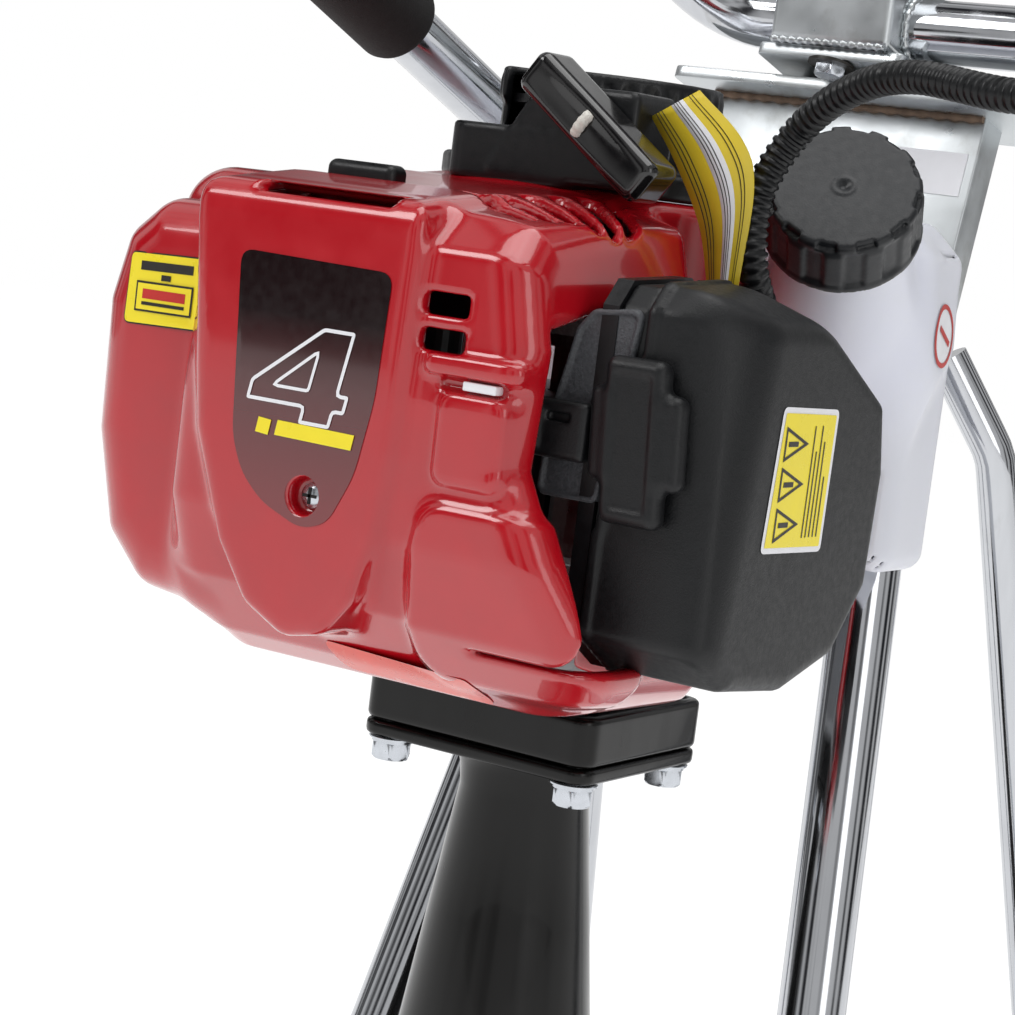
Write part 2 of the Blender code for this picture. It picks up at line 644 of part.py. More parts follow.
def inset_outline(points, amount):
    """The outline drawn in towards its middle, for a wall of about that thickness."""
    cy = sum(p[0] for p in points) / len(points)
    cz = sum(p[1] for p in points) / len(points)
    out = []
    for y, z in points:
        d = Vector((y - cy, z - cz))
        k = (d.length - amount * 1.15) / d.length
        out.append((cy + d.x * k, cz + d.y * k))
    return out


def air_cleaner():
    base = prism("air_cleaner_base", CLEANER, "x", 78.0, CLEANER_X0 - GAP, BLACK)
    boolean(base, cylinder("intake_hole", (60, -70, 100), (90, -70, 100), 10.0, None, 24, cutter=True))
    box("air_filter", (CLEANER_X0 + 1, -108, 76), (CLEANER_X0 + 24, -34, 148), FILTER, bevel=4)
    cover = prism("air_cleaner_cover", CLEANER, "x", CLEANER_X0, CLEANER_X1, BLACK)
    hollow = inset_outline(CLEANER, 3.0)
    inner = prism("cover_inside", hollow, "x", CLEANER_X0 - 5, CLEANER_X1 - 3.0, None, cutter=True)
    boolean(cover, inner)
    cross = [(79, 112), (82, 112), (86, 112), (86, 103), (101, 103), (101, 112), (113, 112)]
    cross += [(113, 143), (101, 143), (101, 153), (86, 153), (86, 143), (79, 140)]
    prism("air_cleaner_latch", cross, "y", -120.0 - GAP - 9.0, -120.0 - GAP, BLACK)


def carburettor():
    block = box("carburettor", (46, -86, 80), (72, -54, 122), ALLOY, bevel=3)
    boolean(block, cylinder("carb_bore", (40, -70, 100), (77.5, -70, 100), 9.0, None, 24, cutter=True))
    box("intake_spacer", (38, -86, 82), (45.7, -54, 118), BLACK, bevel=2)
    prism("choke_lever", [(56, 88), (64, 88), (63, 114), (57, 114)], "y", -89.2, -86.0 - GAP, STEEL)


def conduit_route():
    """The throttle conduit's run: hand-placed points read as a smooth curve."""
    marks = [(62, -53.4, 100), (63, -42, 100), (67, -20, 103), (73, -3, 116), (78, 2, 134), (82, -6, 153)]
    marks += [(83, -27, 168), (82, -37, 184), (81, -35, 206), (91, -32, 227)]
    marks += [(112, -42, 240), (140, -58, 245), (185, -80, 241), (222, -92, 246), (246, -92, 272)]
    marks += [(252, -86, 320), (250, -78, 390), (246, -70, 450), (240, -57, 486)]
    pts = [Vector(m) for m in marks]
    pts = [pts[0] * 2 - pts[1]] + pts + [pts[-1] * 2 - pts[-2]]
    out = []
    for p0, p1, p2, p3 in zip(pts, pts[1:], pts[2:], pts[3:]):
        for i in range(4):
            t = i / 4.0
            bend = (2 * p0 - 5 * p1 + 4 * p2 - p3) * t * t + (3 * p1 - p0 - 3 * p2 + p3) * t**3
            out.append(0.5 * (2 * p1 + (p2 - p0) * t + bend))
    out.append(pts[-2])
    return out


def conduit():
    tube("throttle_conduit", conduit_route(), 5.0, BLACK, resolution=2)


def hang_tag():
    """A curved printed tag, thin and stiff."""
    left = [(45.5, -50, 225), (55, -47, 211), (65, -44, 192), (70, -42, 172)]
    right = [(62, -50, 235), (78, -47, 221), (83, -44, 206), (81, -42, 174)]
    bm = bmesh.new()
    rows = []
    for shift in (0.0, 0.8):
        rows.append([[bm.verts.new(V(x, y + shift, z)) for x, y, z in side] for side in (left, right)])
    for front in (0, 1):
        for i in range(3):
            a, b = rows[front][0][i], rows[front][0][i + 1]
            c, d = rows[front][1][i + 1], rows[front][1][i]
            bm.faces.new((a, b, c, d))
    for side in (0, 1):
        for i in range(3):
            bm.faces.new((rows[0][side][i], rows[0][side][i + 1], rows[1][side][i + 1], rows[1][side][i]))
    for i in (0, 3):
        bm.faces.new((rows[0][0][i], rows[0][1][i], rows[1][1][i], rows[1][0][i]))
    from_bmesh("hang_tag", bm, PAPER)


base_plate()
column()
clutch_housing()
flange_bolts()
exciter()
legs()
bracket()
handle_mount()
handlebars()
controls()
assist_handle()
rear_stand()
crankcase()
cylinder_block()
rotating_group()
shroud()
starter()
tank()
air_cleaner()
carburettor()
conduit()
hang_tag()
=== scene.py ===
"""Looks of a walk-behind screed's power unit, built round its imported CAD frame.

Shapes are written in millimetres above the column's top flange, with +Z up, the engine's front on -Y and its
air cleaner on +X; place() turns them into the frame's metres. The moulded covers are distance fields that
skin() turns into meshes, and the tubes, plates and labels are built as meshes directly.
"""
import math

import bmesh
import bpy
import numpy as np
from mathutils import Matrix, Vector, geometry

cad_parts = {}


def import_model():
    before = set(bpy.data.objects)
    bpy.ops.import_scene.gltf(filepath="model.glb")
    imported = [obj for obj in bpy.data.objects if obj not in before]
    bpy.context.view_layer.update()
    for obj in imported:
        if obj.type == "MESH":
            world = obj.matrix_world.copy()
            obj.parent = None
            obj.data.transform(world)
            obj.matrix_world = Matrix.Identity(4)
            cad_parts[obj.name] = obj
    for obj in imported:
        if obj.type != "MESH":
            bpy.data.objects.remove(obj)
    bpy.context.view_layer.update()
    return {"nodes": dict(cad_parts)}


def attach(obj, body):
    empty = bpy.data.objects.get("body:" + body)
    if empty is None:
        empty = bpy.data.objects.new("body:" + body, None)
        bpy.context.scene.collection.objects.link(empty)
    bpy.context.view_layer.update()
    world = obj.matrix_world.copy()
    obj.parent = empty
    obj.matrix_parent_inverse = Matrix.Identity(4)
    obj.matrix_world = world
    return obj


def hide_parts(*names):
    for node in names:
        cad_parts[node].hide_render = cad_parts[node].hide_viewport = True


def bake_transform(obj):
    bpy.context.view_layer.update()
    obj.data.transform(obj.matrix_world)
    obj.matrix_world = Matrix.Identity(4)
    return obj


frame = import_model()
NODES = frame["nodes"]
FLANGE_Z = 350.0  # the flange's height over the floor, in mm
UNIT = 1000.0


# ---- distance fields, each a function of an array of points ----
def rounded_box(p, low, high, radius):
    """Distance to a box between two corners, with round edges."""
    low = np.array(low, float)
    high = np.array(high, float)
    q = np.abs(p - (low + high) / 2) - (high - low) / 2 + radius
    return np.linalg.norm(np.maximum(q, 0), axis=1) + np.minimum(q.max(1), 0) - radius


def along(p, at, axis):
    """Each point's distance along an axis and away from it."""
    axis = np.array(axis, float)
    axis /= np.linalg.norm(axis)
    offset = p - np.array(at, float)
    rise = offset @ axis
    return rise, np.linalg.norm(offset - rise[:, None] * axis, axis=1)


def drum(p, at, axis, radius, low, high, rounding):
    """Distance to a cylinder between two heights along its axis, with round rims."""
    rise, away = along(p, at, axis)
    a = away - radius + rounding
    b = np.abs(rise - (low + high) / 2) - (high - low) / 2 + rounding
    return np.hypot(np.maximum(a, 0), np.maximum(b, 0)) + np.minimum(np.maximum(a, b), 0) - rounding


def polygon(x, y, points):
    """Signed distance to a closed outline, negative inside."""
    nearest = np.full(len(x), 1e9)
    inside = np.zeros(len(x), bool)
    for (ax, ay), (bx, by) in zip(points, points[1:] + points[:1]):
        ex, ey = bx - ax, by - ay
        wx, wy = x - ax, y - ay
        t = np.clip((wx * ex + wy * ey) / (ex * ex + ey * ey), 0, 1)
        nearest = np.minimum(nearest, np.hypot(wx - t * ex, wy - t * ey))
        if ey:
            crosses = (ay <= y) != (by <= y)
            inside ^= crosses & (wx < wy * ex / ey)
    return np.where(inside, -nearest, nearest)


def inset(points, amount):
    """The outline moved inwards by an even distance."""
    turn = sum(a[0] * b[1] - b[0] * a[1] for a, b in zip(points, points[1:] + points[:1]))
    sign = 1 if turn > 0 else -1
    out = []
    for before, here, after in zip(points[-1:] + points[:-1], points, points[1:] + points[:1]):
        first = Vector(here) - Vector(before)
        second = Vector(after) - Vector(here)
        n0 = Vector((-first.y, first.x)).normalized() * sign
        n1 = Vector((-second.y, second.x)).normalized() * sign
        both = n0 + n1
        out.append(tuple(Vector(here) + both * (2 * amount / both.length_squared)))
    return out


def plate(p, outline, axis, low, high, corner, edge):
    """An outline pushed along an axis, with rounded corners and rounded edges."""
    first, second = [i for i in range(3) if i != axis]
    flat = polygon(p[:, first], p[:, second], inset(outline, corner)) - corner
    a = flat + edge
    b = np.abs(p[:, axis] - (low + high) / 2) - (high - low) / 2 + edge
    return np.hypot(np.maximum(a, 0), np.maximum(b, 0)) + np.minimum(np.maximum(a, b), 0) - edge


def bar(p, start, end, radius):
    start = np.array(start, float)
    span = np.array(end, float) - start
    t = np.clip((p - start) @ span / (span @ span), 0, 1)
    return np.linalg.norm(p - start - t[:, None] * span, axis=1) - radius


def join(a, b, soft):
    """Both shapes together, with a fillet where they meet."""
    h = np.maximum(soft - np.abs(a - b), 0) / soft
    return np.minimum(a, b) - h * h * soft / 4


def meet(a, b, soft):
    """What the two shapes share, with a rounded edge."""
    return -join(-a, -b, soft)


def cut(a, b, soft):
    """The first shape without the second."""
    return meet(a, -b, soft)


# ---- meshes ----
def place(points):
    """Millimetres over the flange as metres over the floor."""
    return (np.asarray(points, float) + (0.0, 0.0, FLANGE_Z)) / UNIT


def thing(name, points, faces, material, smooth=True):
    mesh = bpy.data.meshes.new(name)
    mesh.from_pydata([tuple(p) for p in place(points)], [], [tuple(int(i) for i in f) for f in faces])
    mesh.validate()
    mesh.shade_smooth() if smooth else mesh.shade_flat()
    mesh.materials.append(material)
    obj = bpy.data.objects.new(name, mesh)
    bpy.context.scene.collection.objects.link(obj)
    return obj


def dress(obj, body, slot, *nodes):
    """Rides the piece on its body and hides the CAD nodes that it stands for. slot is not used."""
    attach(obj, body)
    if nodes:
        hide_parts(*nodes)
    return obj


def outward(obj):
    """Merges points in the same place and turns every face outwards."""
    bm = bmesh.new()
    bm.from_mesh(obj.data)
    bmesh.ops.remove_doubles(bm, verts=bm.verts, dist=1e-7)
    bmesh.ops.recalc_face_normals(bm, faces=bm.faces)
    bm.to_mesh(obj.data)
    bm.free()
    return obj


def crease(obj, degrees=35):
    """Shades smooth with hard edges where faces meet at more than the angle."""
    obj.data.shade_smooth()
    obj.data.set_sharp_from_angle(angle=math.radians(degrees))
    return obj


def lines(low, high, step, fine=()):
    """Grid lines from low to high, closer together inside each (from, to, step) stretch."""
    out = [low]
    while out[-1] < high:
        gap = step
        for a, b, finer in fine:
            if a <= out[-1] < b:
                gap = finer
        out.append(out[-1] + gap)
    return np.array(out)


# A grid cell's corners and edges, and the grid lines in a block that grid_values tests at once.
CORNERS = [(i, j, k) for i in (0, 1) for j in (0, 1) for k in (0, 1)]
STEPS = [(0, 0, 1), (0, 1, 0), (1, 0, 0)]
EDGES = [(a, tuple(np.add(a, step))) for a in CORNERS for step in STEPS if max(np.add(a, step)) < 2]
BLOCK = 4


def grid_values(field, xs, ys, zs):
    """The field on the grid: exact near the surface, and of the right sign elsewhere."""
    axes = (xs, ys, zs)
    mids = [np.array([a[i:i + BLOCK].mean() for i in range(0, len(a), BLOCK)]) for a in axes]
    halves = [np.array([np.ptp(a[i:i + BLOCK]) / 2 for i in range(0, len(a), BLOCK)]) for a in axes]
    middle = np.stack(np.meshgrid(*mids, indexing="ij"), -1).reshape(-1, 3)
    reach = np.linalg.norm(np.stack(np.meshgrid(*halves, indexing="ij"), -1).reshape(-1, 3), axis=1)
    coarse = field(middle)
    shape = [len(m) for m in mids]
    near = (np.abs(coarse) < reach * 1.3 + 2.0).reshape(shape)
    pick = np.ix_(*[np.arange(len(a)) // BLOCK for a in axes])
    values = coarse.reshape(shape)[pick].copy()
    wanted = np.argwhere(near[pick])
    for start in range(0, len(wanted), 400000):
        w = wanted[start:start + 400000]
        points = np.stack([a[w[:, i]] for i, a in enumerate(axes)], 1)
        values[tuple(w.T)] = field(points)
    return values


def slope(field, points, h=0.15):
    """The field's gradient at each point."""
    steps = [np.array(s, float) * h for s in ((1, 0, 0), (0, 1, 0), (0, 0, 1))]
    return np.stack([(field(points + s) - field(points - s)) / (2 * h) for s in steps], 1)


def skin(name, field, low, high, step, material, fine=((), (), ())):
    """A closed mesh of the field's zero surface, by surface nets, with its points then drawn onto it."""
    axes = [lines(a - 3 * step, b + 3 * step, step, f) for a, b, f in zip(low, high, fine)]
    values = grid_values(field, *axes)
    inside = values < 0
    size = [n - 1 for n in values.shape]
    count = sum(inside[tuple(slice(o, o + s) for o, s in zip(c, size))].astype(np.int8) for c in CORNERS)
    mixed = (count > 0) & (count < 8)
    cells = np.argwhere(mixed)
    number = np.full(mixed.shape, -1)
    number[mixed] = np.arange(len(cells))
    total = np.zeros((len(cells), 3))
    hits = np.zeros(len(cells))
    for a, b in EDGES:
        ia, ib = cells + a, cells + b
        fa, fb = values[tuple(ia.T)], values[tuple(ib.T)]
        crossing = (fa < 0) != (fb < 0)
        t = np.where(crossing, fa / np.where(crossing, fa - fb, 1), 0)
        pa = np.stack([ax[ia[:, i]] for i, ax in enumerate(axes)], 1)
        pb = np.stack([ax[ib[:, i]] for i, ax in enumerate(axes)], 1)
        total += np.where(crossing[:, None], pa + t[:, None] * (pb - pa), 0)
        hits += crossing
    points = total / hits[:, None]
    for _ in range(2):
        value = field(points)
        direction = slope(field, points)
        length = np.maximum((direction ** 2).sum(1), 0.3)
        points = points - direction * np.clip(value / length, -step / 2, step / 2)[:, None]
    faces = []
    for axis in range(3):
        near = [slice(0, -1) if i == axis else slice(1, -1) for i in range(3)]
        far = [slice(1, None) if i == axis else slice(1, -1) for i in range(3)]
        here, there = inside[tuple(near)], inside[tuple(far)]
        others = [i for i in range(3) if i != axis]
        for mask, flip in ((here & ~there, False), (~here & there, True)):
            at = np.argwhere(mask) + [0 if i == axis else 1 for i in range(3)]
            ring = []
            for du, dv in ((0, 0), (-1, 0), (-1, -1), (0, -1)):
                cell = at.copy()
                cell[:, others[0]] += du
                cell[:, others[1]] += dv
                ring.append(number[tuple(cell.T)])
            quad = np.stack(ring, 1)
            faces.append(quad[:, ::-1] if flip == (axis != 1) else quad)
    return thing(name, points, np.concatenate(faces), material)


def frames_along(path):
    """A direction and two sideways directions at each point of a path, without twist."""
    path = [Vector(p) for p in path]
    ways = []
    for i in range(len(path)):
        ways.append((path[min(i + 1, len(path) - 1)] - path[max(i - 1, 0)]).normalized())
    side = ways[0].orthogonal().normalized()
    out = []
    for way in ways:
        side = (side - way * side.dot(way)).normalized()
        out.append((way, side, way.cross(side)))
    return out


def sweep(name, path, radius, material, sides=40):
    """A closed round bar along a path. radius is a number, or one for each point."""
    radii = radius if hasattr(radius, "__len__") else [radius] * len(path)
    points = []
    for (_, u, v), at, r in zip(frames_along(path), path, radii):
        for k in range(sides):
            a = math.tau * k / sides
            points.append(Vector(at) + (u * math.cos(a) + v * math.sin(a)) * r)
    faces = []
    for i in range(len(path) - 1):
        for k in range(sides):
            j = (k + 1) % sides
            faces.append((i * sides + k, i * sides + j, (i + 1) * sides + j, (i + 1) * sides + k))
    points += [Vector(path[0]), Vector(path[-1])]
    last = (len(path) - 1) * sides
    for k in range(sides):
        j = (k + 1) % sides
        faces.append((j, k, len(points) - 2))
        faces.append((last + k, last + j, len(points) - 1))
    return crease(outward(thing(name, [tuple(p) for p in points], faces, material)), 50)


def turned(name, profile, at, axis, material, sides=64, wave=None):
    """(radius, height) pairs turned round an axis. wave changes the radius by angle and height."""
    turn = Vector(axis).to_track_quat("Z", "Y").to_matrix()
    points = []
    for k in range(sides):
        a = math.tau * k / sides
        for r, h in profile:
            r = wave(r, h, a) if wave else r
            points.append(tuple(turn @ Vector((r * math.cos(a), r * math.sin(a), h)) + Vector(at)))
    count = len(profile)
    faces = []
    for k in range(sides):
        j = (k + 1) % sides
        for i in range(count - 1):
            faces.append((k * count + i, j * count + i, j * count + i + 1, k * count + i + 1))
    return crease(outward(thing(name, points, faces, material)), 40)


def slab(name, outline, axis, low, high, material, bevel=0.8, segments=3, turn=None):
    """An outline pushed along an axis, with bevelled edges. turn maps its points into place."""
    points = []
    for level in (low, high):
        for a, b in outline:
            p = {0: (level, a, b), 1: (a, level, b), 2: (a, b, level)}[axis]
            points.append(turn(*p) if turn else p)
    n = len(outline)
    faces = [tuple(range(n)), tuple(range(2 * n - 1, n - 1, -1))]
    faces += [(i, (i + 1) % n, n + (i + 1) % n, n + i) for i in range(n)]
    obj = outward(thing(name, points, faces, material))
    if bevel:
        bm = bmesh.new()
        bm.from_mesh(obj.data)
        size = bevel / UNIT
        bmesh.ops.bevel(bm, geom=bm.edges[:], offset=size, segments=segments, profile=0.5, affect="EDGES")
        bm.to_mesh(obj.data)
        bm.free()
    return crease(obj, 30)


def rounded(marks, fillet, steps=10):
    """A route with each corner replaced by an arc, as the CAD tubes have."""
    marks = [Vector(m) for m in marks]
    out = [marks[0]]
    for i, (before, corner, after) in enumerate(zip(marks, marks[1:], marks[2:])):
        back, on = (before - corner).normalized(), (after - corner).normalized()
        half = back.angle(on) / 2
        room_in = (before - corner).length * (0.9 if i == 0 else 0.48)
        room_out = (after - corner).length * (0.9 if i == len(marks) - 3 else 0.48)
        reach = min(fillet / math.tan(half), room_in, room_out)
        centre = corner + (back + on).normalized() * (reach / math.cos(half))
        a, b = corner + back * reach - centre, corner + on * reach - centre
        bend = math.pi - 2 * half
        for k in range(steps + 1):
            t = k / steps
            out.append(centre + (a * math.sin((1 - t) * bend) + b * math.sin(t * bend)) / math.sin(bend))
    out.append(marks[-1])
    return out


def smooth_run(marks, steps):
    """A smooth curve through the marks."""
    pts = [Vector(m) for m in marks]
    pts = [pts[0] * 2 - pts[1]] + pts + [pts[-1] * 2 - pts[-2]]
    out = []
    for p0, p1, p2, p3 in zip(pts, pts[1:], pts[2:], pts[3:]):
        for i in range(steps):
            t = i / steps
            bend = (2 * p0 - 5 * p1 + 4 * p2 - p3) * t * t + (3 * p1 - p0 - 3 * p2 + p3) * t ** 3
            out.append(0.5 * (2 * p1 + (p2 - p0) * t + bend))
    out.append(pts[-2])
    return out


def even(path, gap):
    """The same path with points an even distance apart."""
    pts = np.array([tuple(p) for p in path])
    run = np.concatenate([[0], np.cumsum(np.linalg.norm(np.diff(pts, axis=0), axis=1))])
    at = np.linspace(0, run[-1], max(2, int(run[-1] / gap)))
    return np.stack([np.interp(at, run, pts[:, i]) for i in range(3)], 1), at


def round_corners(outline, radius, steps=5):
    """A flat outline with its corners rounded."""
    out = []
    count = len(outline)
    for i in range(count):
        before, here, after = (Vector(outline[(i + k) % count]) for k in (-1, 0, 1))
        reach = min(radius, (before - here).length * 0.45, (after - here).length * 0.45)
        a = here + (before - here).normalized() * reach
        b = here + (after - here).normalized() * reach
        for k in range(steps + 1):
            t = k / steps
            out.append(tuple(a * (1 - t) ** 2 + here * 2 * t * (1 - t) + b * t * t))
    return out


def decal(name, outline, field, start, way, material, lift=0.18, spacing=2.5, holes=()):
    """A thin printed patch on a field's surface: its points travel along way until they meet the surface."""
    outline = [Vector(p) for p in outline]
    loops = [outline] + [[Vector(p) for p in h] for h in holes]
    pts, edges = [], []
    for loop in loops:
        base = len(pts)
        pts += loop
        edges += [(base + i, base + (i + 1) % len(loop)) for i in range(len(loop))]
    xs = [p.x for p in outline]
    ys = [p.y for p in outline]
    flat = [tuple(p) for p in outline]
    gx, gy = np.meshgrid(np.arange(min(xs), max(xs), spacing), np.arange(min(ys), max(ys), spacing))
    keep = polygon(gx.ravel(), gy.ravel(), flat) < -spacing * 0.4
    for h in holes:
        keep &= polygon(gx.ravel(), gy.ravel(), [tuple(p) for p in h]) > spacing * 0.4
    pts += [Vector((a, b)) for a, b in zip(gx.ravel()[keep], gy.ravel()[keep])]
    made = geometry.delaunay_2d_cdt(pts, edges, [], 0, 1e-5)
    verts = np.array([tuple(v) for v in made[0]])
    faces = [f for f in made[2] if inside_loops(verts[list(f)].mean(0), flat, holes)]
    world = np.array([start(a, b) for a, b in verts], float)
    way = np.array(way, float)
    way /= np.linalg.norm(way)
    for _ in range(60):
        world = world + way * np.clip(field(world), -4, 4)[:, None] * 0.8
    up = slope(field, world)
    up /= np.maximum(np.linalg.norm(up, axis=1), 0.2)[:, None]
    obj = thing(name, world + up * lift, faces, material)
    bm = bmesh.new()
    bm.from_mesh(obj.data)
    bmesh.ops.delete(bm, geom=[v for v in bm.verts if not v.link_faces], context="VERTS")
    bm.faces.ensure_lookup_table()
    bm.normal_update()
    facing = sum((f.normal @ Vector(way)) * f.calc_area() for f in bm.faces)
    if facing > 0:
        bmesh.ops.reverse_faces(bm, faces=bm.faces[:])
    bm.to_mesh(obj.data)
    bm.free()
    return obj


def printer(field, start, way, spacing, body, slot):
    """A function that lays one printed patch after another on the same surface."""
    def lay(name, outline, material, lift, holes=()):
        patch = decal(name, outline, field, start, way, material, lift, spacing, holes)
        dress(patch, body, slot)
    return lay


def inside_loops(at, outline, holes):
    """Whether a point lies within the outline and in none of the holes."""
    x, y = np.array([at[0]]), np.array([at[1]])
    if polygon(x, y, outline)[0] > 0:
        return False
    return all(polygon(x, y, [tuple(p) for p in h])[0] > 0 for h in holes)


def circle(x, y, radius, count):
    angles = [math.tau * k / count for k in range(count)]
    return [(x + radius * math.cos(a), y + radius * math.sin(a)) for a in angles]


def stroke(points, width):
    """A flat band's outline along an open line."""
    left, right = [], []
    pts = [Vector(p) for p in points]
    for i, here in enumerate(pts):
        before, after = pts[max(i - 1, 0)], pts[min(i + 1, len(pts) - 1)]
        way = (after - before).normalized()
        side = Vector((-way.y, way.x)) * width / 2
        left.append(here + side)
        right.append(here - side)
    return [tuple(p) for p in left + right[::-1]]


# ---- materials ----
def linear(r, g, b):
    """A display colour of 0 to 255 a channel as linear light, fully opaque."""
    shares = [c / 255 for c in (r, g, b)]
    return tuple(c / 12.92 if c <= 0.04045 else ((c + 0.055) / 1.055) ** 2.4 for c in shares) + (1.0,)


def add(nodes, kind, **values):
    """A new shader node with some of its inputs set; an underscore in a name stands for a space."""
    made = nodes.new("ShaderNode" + kind)
    for name, value in values.items():
        made.inputs[name.replace("_", " ")].default_value = value
    return made


def two_colours(nodes, first, second, low=0.0, high=1.0):
    """A colour ramp from the first colour at low to the second at high."""
    ramp = nodes.new("ShaderNodeValToRGB")
    for stop, colour, at in zip(ramp.color_ramp.elements, (first, second), (low, high)):
        stop.color = colour
        stop.position = at
    return ramp


def finish_nodes(name, colour, rough=0.4, metal=0.0, coat=0.0, vary=0.08, grain=300.0, bump=0.0,
                 bump_scale=900.0, rough_vary=0.06, stretch=(1, 1, 1), dirt=None, dirt_scale=30.0,
                 dirt_share=0.5, specular=0.5):
    """A procedural finish: colour and gloss that vary with a noise, optional stains, and a fine relief."""
    mat = bpy.data.materials.new(name)
    mat.use_nodes = True
    nodes, links = mat.node_tree.nodes, mat.node_tree.links
    shader = nodes["Principled BSDF"]
    shader.inputs["Metallic"].default_value = metal
    shader.inputs["Coat Weight"].default_value = coat
    shader.inputs["Coat Roughness"].default_value = 0.04
    shader.inputs["Specular IOR Level"].default_value = specular
    where = add(nodes, "TexCoord")
    scale = add(nodes, "Mapping", Scale=stretch)
    links.new(where.outputs["Object"], scale.inputs["Vector"])
    noise = add(nodes, "TexNoise", Scale=grain, Detail=5.0)
    links.new(scale.outputs["Vector"], noise.inputs["Vector"])
    base = linear(*colour)[:3]
    darker = tuple(c * (1 - vary) for c in base) + (1.0,)
    lighter = tuple(min(c * (1 + vary), 1.0) for c in base) + (1.0,)
    ramp = two_colours(nodes, darker, lighter, 0.3, 0.7)
    links.new(noise.outputs["Fac"], ramp.inputs["Fac"])
    tint = ramp.outputs["Color"]
    if dirt:
        patches = add(nodes, "TexNoise", Scale=dirt_scale, Detail=8.0, Roughness=0.62)
        links.new(scale.outputs["Vector"], patches.inputs["Vector"])
        shape = add(nodes, "MapRange", From_Min=1.0 - dirt_share, From_Max=1.25 - dirt_share)
        links.new(patches.outputs["Fac"], shape.inputs["Value"])
        mix = nodes.new("ShaderNodeMix")
        mix.data_type = "RGBA"
        mix.inputs["B"].default_value = linear(*dirt)
        links.new(shape.outputs["Result"], mix.inputs["Factor"])
        links.new(tint, mix.inputs["A"])
        tint = mix.outputs["Result"]
    links.new(tint, shader.inputs["Base Color"])
    least = max(rough - rough_vary, 0.02)
    gloss = add(nodes, "MapRange", From_Min=0.3, From_Max=0.7, To_Min=least, To_Max=rough + rough_vary)
    links.new(noise.outputs["Fac"], gloss.inputs["Value"])
    links.new(gloss.outputs["Result"], shader.inputs["Roughness"])
    if bump:
        relief = add(nodes, "TexNoise", Scale=bump_scale, Detail=3.0)
        links.new(scale.outputs["Vector"], relief.inputs["Vector"])
        raised = add(nodes, "Bump", Strength=bump, Distance=0.0004)
        links.new(relief.outputs["Fac"], raised.inputs["Height"])
        links.new(raised.outputs["Normal"], shader.inputs["Normal"])
    return mat


def fade(mat, low, high, bottom, top):
    """Recolours a finish by height between two heights over the flange."""
    nodes, links = mat.node_tree.nodes, mat.node_tree.links
    where = add(nodes, "TexCoord")
    split = add(nodes, "SeparateXYZ")
    links.new(where.outputs["Object"], split.inputs["Vector"])
    share = add(nodes, "MapRange", From_Min=(low + FLANGE_Z) / UNIT, From_Max=(high + FLANGE_Z) / UNIT)
    links.new(split.outputs["Z"], share.inputs["Value"])
    ramp = two_colours(nodes, linear(*bottom), linear(*top))
    links.new(share.outputs["Result"], ramp.inputs["Fac"])
    links.new(ramp.outputs["Color"], nodes["Principled BSDF"].inputs["Base Color"])


RED = finish_nodes("red_shell", (176, 12, 26), 0.2, coat=0.8, vary=0.05, grain=60, rough_vary=0.05,
                   bump=0.04, bump_scale=120)
SATIN = finish_nodes("satin_black", (17, 18, 20), 0.42, vary=0.12, grain=500, bump=0.25, bump_scale=1800,
                     specular=0.35)
CAP_BLACK = finish_nodes("cap_black", (26, 28, 31), 0.4, vary=0.1, specular=0.4,
                         grain=400, bump=0.12, bump_scale=1500)
CASE_BLACK = finish_nodes("case_black", (17, 18, 20), 0.35, vary=0.12, specular=0.35,
                          grain=300, bump=0.15, bump_scale=1400)
GLOSS = finish_nodes("gloss_black", (14, 13, 14), 0.14, coat=0.5, vary=0.15, grain=200, rough_vary=0.05)
PAINT = finish_nodes("black_paint", (9, 8, 7), 0.22, coat=0.12, vary=0.15, grain=90, rough_vary=0.07,
                     stretch=(1, 1, 0.25), bump=0.05, bump_scale=160, dirt=(26, 24, 22),
                     dirt_scale=14, dirt_share=0.22, specular=0.25)
CHROME = finish_nodes("chrome_tube", (196, 198, 202), 0.1, metal=1.0, vary=0.05, grain=120, rough_vary=0.05,
                      stretch=(1, 1, 0.15), dirt=(150, 150, 148), dirt_scale=60, dirt_share=0.36)
ZINC = finish_nodes("zinc_plate", (196, 200, 202), 0.36, metal=1.0, vary=0.1, grain=45, rough_vary=0.12,
                    bump=0.06, bump_scale=220, dirt=(150, 150, 146), dirt_scale=28, dirt_share=0.46)
BOLT = finish_nodes("bolt_zinc", (200, 204, 210), 0.24, metal=1.0, vary=0.08, grain=300, rough_vary=0.08)
STEEL = finish_nodes("bare_steel", (140, 140, 142), 0.35, metal=1.0, vary=0.12, grain=160, rough_vary=0.1,
                     dirt=(96, 88, 78), dirt_scale=40, dirt_share=0.4)
ALLOY = finish_nodes("cast_alloy", (150, 151, 152), 0.5, metal=1.0, vary=0.12, grain=350,
                     bump=0.4, bump_scale=900)
TANK = finish_nodes("tank_white", (222, 224, 236), 0.32, vary=0.015, grain=40, rough_vary=0.05,
                    bump=0.05, bump_scale=300)
FOAM = finish_nodes("soft_foam", (26, 24, 24), 0.85, vary=0.2, grain=900, bump=0.9, bump_scale=2200)
RUBBER = finish_nodes("buffer_rubber", (28, 28, 28), 0.75, vary=0.15, grain=500, bump=0.4, bump_scale=1200)
FILTER = finish_nodes("filter_foam", (52, 52, 56), 0.95, vary=0.4, grain=1200, bump=1.0, bump_scale=1500)
ROPE = finish_nodes("rope_white", (214, 212, 204), 0.8, vary=0.12, grain=1500, bump=0.5, bump_scale=2500)
TAG = finish_nodes("tag_paper", (222, 196, 50), 0.4, vary=0.05, grain=60, rough_vary=0.06)
YELLOW = finish_nodes("label_yellow", (242, 222, 40), 0.3, vary=0.03, grain=80)
